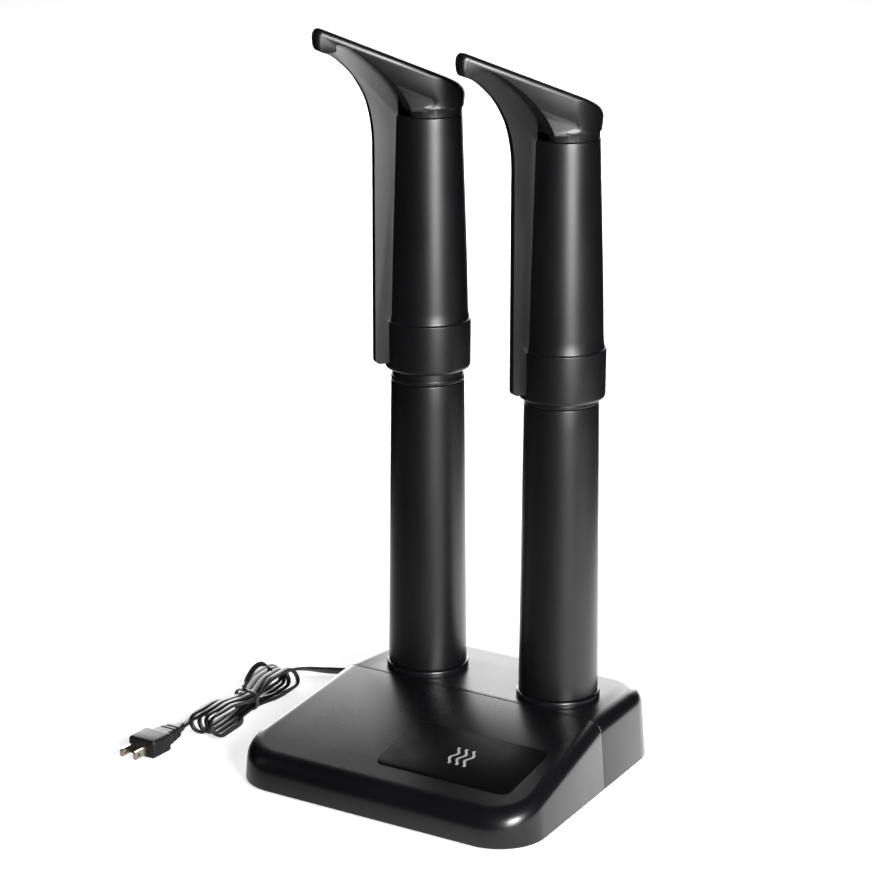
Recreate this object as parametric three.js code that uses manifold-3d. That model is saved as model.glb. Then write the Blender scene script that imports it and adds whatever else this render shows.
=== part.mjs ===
// Boot dryer: two warm-air tubes on a low base, each topped by a tree that holds a boot.
// Millimetres, +Z up. The origin is under the middle of the base, on the floor.
// The front is -Y, where the base slopes down to its label. Left is -X, seen from the front.

import * as THREE from 'three';
import { mergeVertices } from 'three/addons/utils/BufferGeometryUtils.js';
import Module from 'manifold-3d';

const wasm = await Module();
wasm.setup();

// ---------------------------------------------------------------- driving dimensions

const GAP = 0.3;
const TUBE_SIDES = 24;
const ROUND_SIDES = 12;
const WIRE_SIDES = 5;

const base = {
  length: 237.5,
  frontHalfWidth: 130,
  rearHalfWidth: 111,
  frontCorner: 37,
  rearCorner: 38,
  bottom: 1.5,
  top: 53.5,
  seamY: 20.7,
  slope: Math.tan(THREE.MathUtils.degToRad(11.4)),
  draft: Math.tan(THREE.MathUtils.degToRad(4.4)),
  wall: 2.5,
  sideEdge: 10,
  endEdge: 12,
};

const plate = { bottom: 1.8, top: 4.3, inset: 3.2 };

const tube = {
  x: 58.5,
  y: 52.75,
  bottom: 59.1,
  top: 284.2,
  radius: 30,
  taper: 0.0108,
  wall: 2,
};

const collar = { radius: 31.6, top: 58.8, spigotTop: 92, bore: 25, neck: 27.2, neckBottom: 46 };
const coupling = { bottom: 250, beadBottom: 284.5, beadTop: 288, top: 335, lowerRadius: 25.2 };
coupling.beadRadius = 28;
coupling.upperRadius = 26.6;
coupling.tipRadius = 26;
coupling.bore = 23;

const tree = { bottom: 288.3, rim: 481, rimRadius: 26.1, wall: 2, sleeveRadius: 32.5 };
const fin = { thickness: 5.5, reach: 43.3, inner: 24.5, bottom: 294, bend: 468 };
const hood = {
  radius: 28.7,
  bottom: 486.5,
  skirtRadius: 26.5,
  wall: 2,
  noseReach: 83,
  noseRadius: 7,
  noseBottom: 531,
  noseBack: 73,
  noseTop: 548,
  slope: 0.42,
};

const sides = [
  { name: 'left', x: -tube.x, yaw: 34, lift: 5.5 },
  { name: 'right', x: tube.x, yaw: 27, lift: 0 },
];

const cord = { width: 5.6, thickness: 2.9, reliefX: -70, exitZ: 15 };
cord.reliefTip = base.length / 2 + 25;

// ---------------------------------------------------------------- helpers

function toSolid(geometry) {
  const bare = geometry.clone();
  bare.deleteAttribute('normal');
  bare.deleteAttribute('uv');
  const merged = mergeVertices(bare, 1e-4);
  return new wasm.Manifold(new wasm.Mesh({
    numProp: 3,
    vertProperties: new Float32Array(merged.attributes.position.array),
    triVerts: new Uint32Array(merged.index.array),
  }));
}

// Points left in the middle of straight edges by a cut are merged away within this distance.
const MERGE_WITHIN = 0.002;

function toGeometry(solid) {
  const mesh = solid.asOriginal().simplify(MERGE_WITHIN).getMesh();
  const geometry = new THREE.BufferGeometry();
  geometry.setAttribute('position', new THREE.BufferAttribute(mesh.vertProperties.slice(), 3));
  geometry.setIndex(new THREE.BufferAttribute(mesh.triVerts.slice(), 1));
  geometry.computeVertexNormals();
  return geometry;
}

const join = (...parts) => toGeometry(parts.map(toSolid).reduce((sum, part) => sum.add(part)));
const cut = (part, ...cutters) =>
  toGeometry(cutters.map(toSolid).reduce((rest, cutter) => rest.subtract(cutter), toSolid(part)));
const common = (part, region) => toGeometry(toSolid(part).intersect(toSolid(region)));

// A box from its lowest to its highest corner.
function block(low, high) {
  const size = high.map((value, i) => value - low[i]);
  const geometry = new THREE.BoxGeometry(...size);
  return geometry.translate(...low.map((value, i) => value + size[i] / 2));
}

// A body turned about the Z axis: its [radius, z] outline runs up the outside and down the inside.
function turned(outline, sidesCount = TUBE_SIDES) {
  const points = outline.map(([r, z]) => new THREE.Vector2(r, z));
  const onAxis = outline[0][0] === 0 && outline[outline.length - 1][0] === 0;
  if (!onAxis) points.push(points[0].clone());
  return new THREE.LatheGeometry(points, sidesCount).rotateX(Math.PI / 2);
}

const rod = (radius, bottom, top, sidesCount = ROUND_SIDES) =>
  turned([[0, bottom], [radius, bottom], [radius, top], [0, top]], sidesCount);

// A closed body through rings of equal point count, each ring counter-clockwise seen from above.
function loft(rings) {
  const count = rings[0].length;
  const positions = rings.flat().flatMap((p) => [p.x, p.y, p.z]);
  const index = [];
  for (let k = 0; k + 1 < rings.length; k += 1) {
    for (let i = 0; i < count; i += 1) {
      const a = k * count + i;
      const b = k * count + ((i + 1) % count);
      index.push(a, b, b + count, a, b + count, a + count);
    }
  }
  const capped = [[rings[0], 0, true], [rings[rings.length - 1], (rings.length - 1) * count, false]];
  for (const [ring, first, down] of capped) {
    const middle = ring.reduce((sum, p) => sum.add(p), new THREE.Vector3()).divideScalar(count);
    const centre = positions.length / 3;
    positions.push(middle.x, middle.y, middle.z);
    for (let i = 0; i < count; i += 1) {
      const a = first + i;
      const b = first + ((i + 1) % count);
      index.push(...(down ? [centre, b, a] : [centre, a, b]));
    }
  }
  const geometry = new THREE.BufferGeometry();
  geometry.setAttribute('position', new THREE.Float32BufferAttribute(positions, 3));
  geometry.setIndex(index);
  geometry.computeVertexNormals();
  return geometry;
}

// A plan outline as { point, normal } objects, from corner circles [x, y, radius, from, to] in degrees.
function planOutline(corners, steps) {
  const outline = [];
  for (const [x, y, radius, from, to] of corners) {
    for (let i = 0; i <= steps; i += 1) {
      const angle = THREE.MathUtils.degToRad(from + ((to - from) * i) / steps);
      const normal = new THREE.Vector2(Math.cos(angle), Math.sin(angle));
      outline.push({ point: new THREE.Vector2(x, y).addScaledVector(normal, radius), normal });
    }
  }
  return outline;
}

// A shell's outer or inner surface: drafted walls, a rounded top edge and a tilted flat top.
function roundedBody({ outline, bottom, topAt, edgeAt, draft, inset }) {
  const edgeSteps = 3;
  const place = ({ point, normal }, depth, extra) => {
    let at = point.clone();
    let z = bottom;
    for (let pass = 0; pass < 3; pass += 1) {
      z = depth === null ? bottom : topAt(at) - inset - depth;
      const inward = inset + Math.max(0, z - bottom) * draft + extra;
      at = point.clone().addScaledVector(normal, -inward);
    }
    return new THREE.Vector3(at.x, at.y, z);
  };
  const rings = [outline.map((u) => place(u, null, 0))];
  for (let k = 0; k <= edgeSteps; k += 1) {
    const angle = (Math.PI / 2) * (k / edgeSteps);
    rings.push(outline.map((u) => {
      const radius = edgeAt(u.normal) - inset;
      return place(u, radius * (1 - Math.sin(angle)), radius * (1 - Math.cos(angle)));
    }));
  }
  return loft(rings);
}

// A tube or flat lead along a smooth route of [x, y, z] points, with its tall side upright at the start.
function lead(route, halfTall, halfWide, sidesCount, steps) {
  const curve = new THREE.CatmullRomCurve3(route.map((p) => new THREE.Vector3(...p)), false, 'centripetal');
  const frames = curve.computeFrenetFrames(steps, false);
  const roll = Math.atan2(frames.binormals[0].z, frames.normals[0].z);
  const outline = [];
  for (let i = 0; i < sidesCount; i += 1) {
    const angle = ((i + 0.5) / sidesCount) * 2 * Math.PI;
    const corner = new THREE.Vector2(halfTall * Math.cos(angle), halfWide * Math.sin(angle));
    outline.push(corner.rotateAround(new THREE.Vector2(), roll));
  }
  const section = new THREE.Shape(outline);
  return new THREE.ExtrudeGeometry(section, { steps, bevelEnabled: false, extrudePath: curve });
}

// An outline as plain points, without the doubled ones where a line meets an arc.
function plainOutline(shape, curveSteps) {
  const points = shape.getPoints(curveSteps);
  const kept = points.filter((p, i) => p.distanceTo(points[(i + 1) % points.length]) > 0.01);
  return new THREE.Shape(kept);
}

// A flat outline extruded upward between two heights.
function slab(shape, bottom, top) {
  const geometry = new THREE.ExtrudeGeometry(shape, {
    depth: top - bottom,
    bevelEnabled: false,
    curveSegments: 4,
  });
  return geometry.translate(0, 0, bottom);
}

const group = new THREE.Group();

const finishes = {
  shell: { color: 0x24252a, roughness: 0.28, metalness: 0 },
  rubber: { color: 0x1b1b1c, roughness: 0.8, metalness: 0 },
  steel: { color: 0xb9bbbe, roughness: 0.35, metalness: 1 },
  brass: { color: 0xc9a45c, roughness: 0.3, metalness: 1 },
  ceramic: { color: 0xe6e0d2, roughness: 0.7, metalness: 0 },
  wire: { color: 0x8a8782, roughness: 0.4, metalness: 1 },
  label: { color: 0x1d3a4c, roughness: 0.35, metalness: 0 },
  lead: { color: 0x161618, roughness: 0.45, metalness: 0 },
  innerLead: { color: 0xd8d4c6, roughness: 0.5, metalness: 0 },
};

function add(name, geometry, finish, parent = group) {
  const mesh = new THREE.Mesh(geometry, new THREE.MeshStandardMaterial(finishes[finish]));
  mesh.name = name;
  parent.add(mesh);
  return mesh;
}

// ---------------------------------------------------------------- base shells

const halfLength = base.length / 2;
const sideLean = Math.atan2(base.frontHalfWidth - base.rearHalfWidth, base.length);
const sideLeanDegrees = THREE.MathUtils.radToDeg(sideLean);

// The centre of a corner circle that touches the leaning side wall and an end wall.
function cornerCentre(radius, endY) {
  const y = endY - Math.sign(endY) * radius;
  const reach = base.frontHalfWidth * Math.cos(sideLean) - halfLength * Math.sin(sideLean) - radius;
  return [(reach - y * Math.sin(sideLean)) / Math.cos(sideLean), y];
}

const [frontX, frontY] = cornerCentre(base.frontCorner, -halfLength);
const [rearX, rearY] = cornerCentre(base.rearCorner, halfLength);
const basePlan = planOutline([
  [frontX, frontY, base.frontCorner, -90, sideLeanDegrees],
  [rearX, rearY, base.rearCorner, sideLeanDegrees, 90],
  [-rearX, rearY, base.rearCorner, 90, 180 - sideLeanDegrees],
  [-frontX, frontY, base.frontCorner, 180 - sideLeanDegrees, 270],
], 5);

const slopeTop = (y) => base.top - (base.seamY - y) * base.slope;
const frontTop = (at) => slopeTop(at.y);
const rearTop = () => base.top;
const baseEdge = (normal) => base.sideEdge + (base.endEdge - base.sideEdge) * Math.abs(normal.y);

const baseBody = (topAt, inset, bottom = base.bottom) => roundedBody({
  outline: basePlan,
  bottom,
  topAt,
  edgeAt: baseEdge,
  draft: base.draft,
  inset,
});

const wide = 200;
const region = (fromY, toY, bottom = -5) => block([-wide, fromY, bottom], [wide, toY, 100]);

const screwPlaces = [[-70, -90], [70, -90], [-50, 98], [50, 98]];
const footPlaces = [[-98, -84], [98, -84], [-84, 86], [84, 86]];
const boss = { radius: 4.8, bore: 2.1, depth: 14 };
const bossPost = (x, y, top) => rod(boss.radius, plate.top + GAP, top, 12).translate(x, y, 0);
const bossHole = (x, y) => rod(boss.bore, 0, plate.top + boss.depth, 12).translate(x, y, 0);

const hollow = (topAt) => baseBody(topAt, base.wall, base.bottom - 1);

const tongueRise = 5.5;
const tongueOuter = base.wall + GAP;
const tongueInner = tongueOuter + 1.8;
const tongueBand = (inset, fromY, toY) => common(
  cut(baseBody(rearTop, inset), baseBody(rearTop, tongueInner, base.bottom - 1)),
  region(fromY, toY, tongueRise),
);
const tongueRoot = tongueBand(base.wall - GAP, base.seamY - 8, base.seamY - 1);
const tongueTip = tongueBand(tongueOuter, base.seamY - 2, base.seamY + 3);

const labelPlate = { width: 114, depth: 62, corner: 7, thickness: 0.5, x: 43, y: -58.5 };

function roundedRectangle(width, depth, corner) {
  const shape = new THREE.Shape();
  const x = width / 2;
  const y = depth / 2;
  shape.moveTo(-x + corner, -y);
  shape.lineTo(x - corner, -y);
  shape.absarc(x - corner, -y + corner, corner, -Math.PI / 2, 0);
  shape.lineTo(x, y - corner);
  shape.absarc(x - corner, y - corner, corner, 0, Math.PI / 2);
  shape.lineTo(-x + corner, y);
  shape.absarc(-x + corner, y - corner, corner, Math.PI / 2, Math.PI);
  shape.lineTo(-x, -y + corner);
  shape.absarc(-x + corner, -y + corner, corner, Math.PI, 1.5 * Math.PI);
  return shape;
}

// A flat piece laid on the front slope, between two heights above its surface.
function onSlope(shape, low, high) {
  const geometry = slab(shape, low, high);
  geometry.rotateX(Math.atan(base.slope));
  return geometry.translate(labelPlate.x, labelPlate.y, slopeTop(labelPlate.y));
}

const labelMargin = 0.4;
const recess = onSlope(
  roundedRectangle(labelPlate.width + 2 * labelMargin, labelPlate.depth + 2 * labelMargin, labelPlate.corner),
  -labelPlate.thickness,
  5,
);

const frontPosts = screwPlaces.filter(([, y]) => y < 0);
const rearPosts = screwPlaces.filter(([, y]) => y > 0);

const frontShell = common(baseBody(frontTop, 0), region(-wide, base.seamY - GAP / 2));
const frontHousing = cut(
  join(
    cut(frontShell, hollow(frontTop)),
    tongueRoot,
    tongueTip,
    ...frontPosts.map(([x, y]) => bossPost(x, y, slopeTop(y) - 1.5)),
  ),
  recess,
  ...frontPosts.map(([x, y]) => bossHole(x, y)),
);
add('front_housing', frontHousing, 'shell');

// A collar is a bead that the extension tube stands on, a spigot that it slides over, and a neck
// that is held in the rear shell by a snap ridge.
const tubeRadiusAt = (z) => tube.radius - tube.taper * (z - tube.bottom);
const spigotGap = 0.35;
const spigotRadiusAt = (z) => tubeRadiusAt(z) - tube.wall - spigotGap;
const beadEdge = 2;

function collarRing() {
  const ridgeTop = base.top - base.wall - GAP;
  return turned([
    [collar.bore, collar.neckBottom],
    [collar.neck - 0.6, collar.neckBottom],
    [collar.neck + 1, ridgeTop - 1],
    [collar.neck + 1, ridgeTop],
    [collar.neck, ridgeTop],
    [collar.neck, base.top + GAP],
    [collar.radius, base.top + GAP],
    [collar.radius, collar.top - beadEdge],
    [collar.radius - 0.6, collar.top - 0.6],
    [collar.radius - beadEdge, collar.top],
    [spigotRadiusAt(collar.top), collar.top],
    [spigotRadiusAt(collar.spigotTop - 1), collar.spigotTop - 1],
    [spigotRadiusAt(collar.spigotTop) - 1, collar.spigotTop],
    [collar.bore, collar.spigotTop],
  ]);
}

const relief = { hole: 5.3, neck: 5, flange: 7.2, innerFlange: 6.5, tip: 3.9, tipLength: 25 };
relief.wallInner = halfLength - base.wall - (cord.exitZ + relief.flange - base.bottom) * base.draft;
relief.wallOuter = halfLength - (cord.exitZ - relief.flange - base.bottom) * base.draft;

const alongY = (geometry, x, y, z) => geometry.rotateX(-Math.PI / 2).translate(x, y, z);
const reliefHole = alongY(rod(relief.hole, -8, 8), cord.reliefX, halfLength - 2, cord.exitZ);

const rearShell = common(baseBody(rearTop, 0), region(base.seamY + GAP / 2, wide));
const rearHousing = cut(
  join(
    cut(rearShell, hollow(rearTop)),
    ...rearPosts.map(([x, y]) => bossPost(x, y, base.top - 1)),
  ),
  reliefHole,
  ...rearPosts.map(([x, y]) => bossHole(x, y)),
  ...sides.map((side) => rod(collar.neck + GAP, 45, 100, TUBE_SIDES).translate(side.x, tube.y, 0)),
);
add('rear_housing', rearHousing, 'shell');

add('label_plate', onSlope(
  roundedRectangle(labelPlate.width, labelPlate.depth, labelPlate.corner),
  GAP - labelPlate.thickness,
  GAP,
), 'label');

// ---------------------------------------------------------------- bottom plate, feet and screws

const circleHole = (x, y, radius) => new THREE.Path().absarc(x, y, radius, 0, 2 * Math.PI, true);

function slotHole(x, y, length, width) {
  const path = new THREE.Path();
  const half = (length - width) / 2;
  path.absarc(x, y + half, width / 2, 0, Math.PI, false);
  path.absarc(x, y - half, width / 2, Math.PI, 2 * Math.PI, false);
  return path;
}

const footStud = 2.9;
const rivet = { shank: 1.5, spread: 33 };
const slots = { count: 5, pitch: 9, length: 44, width: 5 };

function bottomPlate() {
  const outline = basePlan.map(({ point, normal }) => point.clone().addScaledVector(normal, -plate.inset));
  const shape = new THREE.Shape(outline);
  for (const [x, y] of screwPlaces) shape.holes.push(circleHole(x, y, boss.bore));
  for (const [x, y] of footPlaces) shape.holes.push(circleHole(x, y, footStud + GAP));
  for (const side of sides) {
    for (let i = 0; i < slots.count; i += 1) {
      const offset = (i - (slots.count - 1) / 2) * slots.pitch;
      shape.holes.push(slotHole(side.x + offset, tube.y, slots.length, slots.width));
    }
    for (const sign of [-1, 1]) {
      shape.holes.push(circleHole(side.x + sign * rivet.spread, tube.y, rivet.shank + GAP));
    }
  }
  return slab(shape, plate.bottom, plate.top);
}
add('bottom_plate', bottomPlate(), 'shell');

const footNames = ['front_left', 'front_right', 'rear_left', 'rear_right'];
footPlaces.forEach(([x, y], i) => {
  const foot = turned([
    [0, 0],
    [8, 0],
    [9, 0.9],
    [9, plate.bottom - GAP],
    [footStud, plate.bottom - GAP],
    [footStud, plate.top],
    [footStud - 1, plate.top + 1.4],
    [0, plate.top + 1.4],
  ], ROUND_SIDES);
  add(`foot_${footNames[i]}`, foot, 'rubber').position.set(x, y, 0);
});

screwPlaces.forEach(([x, y], i) => {
  const headBottom = 0.35;
  const headTop = plate.bottom - GAP;
  const body = turned([
    [0, headBottom],
    [2.9, headBottom],
    [3.6, headTop - 0.4],
    [3.6, headTop],
    [1.7, headTop],
    [1.7, plate.top + boss.depth - 3],
    [0, plate.top + boss.depth - 1],
  ], 12);
  const slotHalf = 0.45;
  const driverSlots = [
    block([-2, -slotHalf, 0], [2, slotHalf, headBottom + 0.7]),
    block([-slotHalf, -2, 0], [slotHalf, 2, headBottom + 0.7]),
  ];
  add(`housing_screw_${i + 1}`, cut(body, ...driverSlots), 'steel').position.set(x, y, 0);
});

// ---------------------------------------------------------------- heaters

const heater = { coreBottom: 12.4, coreTop: 45, coreRadius: 6.4, flange: 10, stud: 2.5 };
const coil = { radius: 8.1, wire: 0.7, bottom: 16, top: 41, turns: 6, stepsPerTurn: 8, tail: 5 };
const strip = { width: 14, thickness: 1, top: 12.1, footLength: 12, span: 27 };

// A metal strip bent into a low bridge: two feet riveted to the plate and a shelf for the core.
function heaterBracket() {
  const low = plate.top + GAP;
  const t = strip.thickness;
  const outer = strip.span + strip.footLength;
  const profile = [
    [-outer, low], [-strip.span + t, low], [-strip.span + t, strip.top - t],
    [strip.span - t, strip.top - t], [strip.span - t, low], [outer, low],
    [outer, low + t], [strip.span, low + t], [strip.span, strip.top],
    [-strip.span, strip.top], [-strip.span, low + t], [-outer, low + t],
  ];
  const shape = new THREE.Shape(profile.map(([x, z]) => new THREE.Vector2(x, z)));
  const body = slab(shape, -strip.width / 2, strip.width / 2).rotateX(Math.PI / 2);
  const holes = [-rivet.spread, rivet.spread].map((x) => rod(rivet.shank + GAP, 0, 8, 12).translate(x, 0, 0));
  return cut(body, ...holes, rod(heater.stud + GAP, 8, 16, 12));
}

function heaterCore() {
  const { coreBottom, coreTop, coreRadius, flange, stud } = heater;
  const rim = 1.8;
  return turned([
    [0, 9],
    [stud, 9],
    [stud, coreBottom],
    [flange, coreBottom],
    [flange, coreBottom + rim],
    [coreRadius, coreBottom + rim],
    [coreRadius, coreTop - rim],
    [flange, coreTop - rim],
    [flange, coreTop],
    [0, coreTop],
  ], ROUND_SIDES);
}

// The resistance wire: an open winding round the core, with a short straight tail at each end.
function heaterCoil() {
  const route = [];
  const total = coil.turns * coil.stepsPerTurn;
  for (let i = 0; i <= total; i += 1) {
    const angle = (2 * Math.PI * i) / coil.stepsPerTurn;
    const z = coil.bottom + ((coil.top - coil.bottom) * i) / total;
    route.push([coil.radius * Math.cos(angle), coil.radius * Math.sin(angle), z]);
  }
  const tailX = coil.radius + coil.tail;
  route.unshift([tailX, -1.2, coil.bottom - 0.4]);
  route.push([tailX, 1.2, coil.top + 0.4]);
  return lead(route, coil.wire, coil.wire, WIRE_SIDES, total + 4);
}

for (const side of sides) {
  const unit = new THREE.Group();
  unit.position.set(side.x, tube.y, 0);
  group.add(unit);
  add(`${side.name}_heater_bracket`, heaterBracket(), 'steel', unit);
  add(`${side.name}_heater_core`, heaterCore(), 'ceramic', unit);
  add(`${side.name}_heater_coil`, heaterCoil(), 'wire', unit);
  [-1, 1].forEach((sign, i) => {
    const headBottom = plate.bottom - GAP;
    const stripTop = plate.top + GAP + strip.thickness;
    const body = turned([
      [0, headBottom - 0.8],
      [2.2, headBottom - 0.8],
      [3, headBottom],
      [rivet.shank, headBottom],
      [rivet.shank, stripTop + GAP],
      [2.8, stripTop + GAP],
      [2.2, stripTop + GAP + 0.9],
      [0, stripTop + GAP + 0.9],
    ], 12);
    add(`${side.name}_bracket_rivet_${i + 1}`, body, 'steel', unit).position.x = sign * rivet.spread;
  });
}

// ---------------------------------------------------------------- wiring inside the base

const cutoff = { x: 0, y: 66, radius: 8, flange: 12, bottom: plate.top + GAP };

function thermalCutoff() {
  const can = turned([
    [0, cutoff.bottom],
    [cutoff.flange, cutoff.bottom],
    [cutoff.flange, cutoff.bottom + 1],
    [cutoff.radius, cutoff.bottom + 1],
    [cutoff.radius, cutoff.bottom + 7],
    [cutoff.radius - 1.5, cutoff.bottom + 8],
    [0, cutoff.bottom + 8],
  ], ROUND_SIDES);
  const blade = (x) => block([x - 2.5, -0.4, cutoff.bottom + 5], [x + 2.5, 0.4, cutoff.bottom + 16]);
  return join(can, blade(-4), blade(4));
}
add('thermal_cutoff', thermalCutoff(), 'steel').position.set(cutoff.x, cutoff.y, 0);

const crimp = { radius: 2.3, from: 92, to: 104, offset: 4.2 };
const coreWire = 1.2;
['live', 'neutral'].forEach((name, i) => {
  const x = cord.reliefX + (i === 0 ? crimp.offset : -crimp.offset);
  const z = cord.exitZ;
  add(`crimp_${name}`, alongY(rod(crimp.radius, 0, crimp.to - crimp.from, 12), x, crimp.from, z), 'brass');
  const coreEnd = relief.wallInner - GAP - 3;
  const inner = cord.reliefX + (x - cord.reliefX) / 2;
  add(`cord_core_${name}`, lead([
    [x, crimp.to + GAP, z],
    [x, crimp.to + 1.8, z],
    [inner, coreEnd - 1.8, z],
    [inner, coreEnd, z],
  ], coreWire, coreWire, WIRE_SIDES, 6), 'innerLead');
});

const bladeTop = cutoff.bottom + 16 + GAP;
const coilEnd = coil.radius + coil.tail + GAP;
const innerLeads = {
  lead_to_cutoff: [
    [cord.reliefX + crimp.offset, crimp.from - GAP, cord.exitZ],
    [cord.reliefX + crimp.offset, 88, cord.exitZ],
    [-54, 84, 21],
    [-28, 84, 24],
    [-8, 75, 25],
    [-4, 67, 24],
    [-4, 66, bladeTop],
  ],
  lead_to_right_heater: [
    [4, 66, bladeTop],
    [4, 66, 24],
    [14, 58, 34],
    [30, 30, 40],
    [62, 26, 44],
    [82, 36, 44],
    [80, 50, coil.top + 0.6],
    [tube.x + coilEnd, tube.y + 1.2, coil.top + 0.4],
  ],
  lead_between_heaters: [
    [tube.x + coilEnd, tube.y - 1.2, coil.bottom - 0.4],
    [80, 48, 16],
    [78, 34, 18],
    [40, 28, 18],
    [0, 30, 18],
    [-26, 36, 18],
    [-38, 46, 17],
    [-tube.x + coilEnd, tube.y - 1.2, coil.bottom - 0.4],
  ],
  lead_to_left_heater: [
    [cord.reliefX - crimp.offset, crimp.from - GAP, cord.exitZ],
    [cord.reliefX - crimp.offset, 88, cord.exitZ],
    [-66, 82, 30],
    [-46, 76, 42],
    [-38, 64, coil.top + 2],
    [-tube.x + coilEnd + 4, tube.y + 3, coil.top + 0.8],
    [-tube.x + coilEnd, tube.y + 1.2, coil.top + 0.4],
  ],
};
for (const [name, route] of Object.entries(innerLeads)) {
  add(name, lead(route, coreWire, coreWire, WIRE_SIDES, 16), 'innerLead');
}

// ---------------------------------------------------------------- extension tubes and couplings

function extensionTube() {
  const edge = 0.6;
  const { bottom, top, wall } = tube;
  const outer = tubeRadiusAt;
  return turned([
    [outer(bottom) - wall, bottom],
    [outer(bottom) - edge, bottom],
    [outer(bottom), bottom + edge],
    [outer(top), top - edge],
    [outer(top) - edge, top],
    [outer(top) - wall, top],
  ]);
}

function couplingRing() {
  const { bottom, beadBottom, beadTop, top, bore } = coupling;
  const edge = 1;
  return turned([
    [bore, bottom],
    [coupling.lowerRadius - edge, bottom],
    [coupling.lowerRadius, bottom + edge],
    [coupling.lowerRadius, beadBottom],
    [coupling.beadRadius - 0.5, beadBottom],
    [coupling.beadRadius, beadBottom + 0.8],
    [coupling.beadRadius, beadTop - 0.8],
    [coupling.beadRadius - 0.5, beadTop],
    [coupling.upperRadius, beadTop],
    [coupling.tipRadius, top - edge],
    [coupling.tipRadius - edge, top],
    [bore, top],
  ]);
}

// ---------------------------------------------------------------- trees and hoods
// Each is made about its own axis with the fin towards +X, then turned to its yaw.

const hoodTopAt = (reach) => hood.noseTop - (hood.noseReach - reach) * hood.slope;

const treeOuter = [
  [tree.sleeveRadius, 320],
  [30.4, 328],
  [29.5, 370],
  [26.5, 467],
  [tree.rimRadius, tree.rim],
];

function treeBore(top) {
  const socketTop = coupling.top + 1;
  return [
    [tree.rimRadius - tree.wall, top],
    [24.5, 467],
    [27.5, 370],
    [28.2, 346],
    [coupling.tipRadius + spigotGap, socketTop],
    [coupling.upperRadius + spigotGap, tree.bottom],
  ];
}

function treeTube() {
  const round = 5;
  const roundX = tree.sleeveRadius - round;
  const corner = [1, 2, 3].map((k) => {
    const angle = (Math.PI / 6) * k;
    return [roundX + round * Math.sin(angle), tree.bottom + round * (1 - Math.cos(angle))];
  });
  const body = turned([
    [0, tree.bottom],
    [roundX, tree.bottom],
    ...corner,
    ...treeOuter,
    [0, tree.rim],
  ]);
  const bore = turned([
    [0, tree.bottom - 1],
    [coupling.upperRadius + spigotGap, tree.bottom - 1],
    ...treeBore(tree.rim).reverse(),
    [tree.rimRadius - tree.wall, tree.rim + 0.01],
    [0, tree.rim + 0.01],
  ]);
  return cut(join(body, finPlate()), bore);
}

function finPlate() {
  const underHood = hood.wall + 0.5;
  const underNose = hood.noseBottom - GAP;
  const tipBack = hood.noseBack - 0.5;
  const bottomRound = 4;
  const shape = new THREE.Shape();
  shape.moveTo(fin.inner, fin.bottom);
  shape.lineTo(fin.reach - bottomRound, fin.bottom);
  shape.absarc(fin.reach - bottomRound, fin.bottom + bottomRound, bottomRound, -Math.PI / 2, 0);
  shape.lineTo(fin.reach, fin.bend);
  shape.splineThru([
    [45.4, 483], [50, 498], [59.5, 513], [67.5, 521.5], [77.6, 529],
  ].map(([r, z]) => new THREE.Vector2(r, z)));
  shape.lineTo(77.6, underNose);
  shape.lineTo(tipBack, underNose);
  shape.lineTo(tipBack, hoodTopAt(tipBack) - underHood);
  shape.lineTo(fin.inner, hoodTopAt(fin.inner) - underHood);
  const bevel = 0.7;
  const plateBody = new THREE.ExtrudeGeometry(plainOutline(shape, 4), {
    depth: fin.thickness - 2 * bevel,
    bevelThickness: bevel,
    bevelSize: bevel,
    bevelOffset: -bevel,
    bevelSegments: 1,
  });
  return plateBody.translate(0, 0, bevel - fin.thickness / 2).rotateX(Math.PI / 2);
}

function hoodShell() {
  const taperAngle = THREE.MathUtils.radToDeg(Math.asin((hood.radius - hood.noseRadius) / hood.noseReach));
  const flank = 90 - taperAngle;
  const roundSteps = 12;
  const outline = planOutline([
    [0, 0, hood.radius, flank, 360 - flank],
  ], roundSteps).concat(planOutline([
    [hood.noseReach, 0, hood.noseRadius, 360 - flank, 360 + flank],
  ], 6));
  const body = (inset, bottom) => roundedBody({
    outline,
    bottom,
    topAt: (at) => hoodTopAt(at.x),
    edgeAt: (normal) => 3.5 + 4.5 * Math.max(0, -normal.x),
    draft: 0,
    inset,
  });
  const cavity = common(body(hood.wall, hood.bottom - 8), block([-50, -50, 470], [hood.noseBack, 50, 600]));
  const rimGap = tree.rim + GAP;
  const lip = { radius: 23.6, wall: 1.6, bottom: 474 };
  const ringInner = lip.radius - lip.wall;
  const skirt = turned([
    [ringInner, lip.bottom],
    [lip.radius, lip.bottom],
    [lip.radius, rimGap],
    [hood.skirtRadius, rimGap],
    [hood.skirtRadius, hood.bottom + 1],
    [hood.radius - hood.wall / 2, hood.bottom + 1],
    [hood.radius - hood.wall / 2, hood.bottom + 2.5],
    [ringInner + 2.5, hood.bottom + 2.5],
    [ringInner, rimGap + 1],
  ]);
  const mouth = new THREE.Shape();
  mouth.moveTo(120, rimGap - GAP / 2);
  mouth.lineTo(120, hood.noseBottom);
  mouth.lineTo(hood.noseBack + 4.5, hood.noseBottom);
  mouth.lineTo(hood.noseBack + 1.5, 536);
  mouth.splineThru([
    [62, 532.6], [48.6, 522.5], [36, 511.2], [25, 496.5], [19, rimGap - GAP / 2],
  ].map(([r, z]) => new THREE.Vector2(r, z)));
  const mouthCutter = slab(plainOutline(mouth, 4), -40, 40).rotateX(Math.PI / 2);
  return cut(join(cut(body(0, hood.bottom), cavity), skirt), mouthCutter);
}

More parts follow.
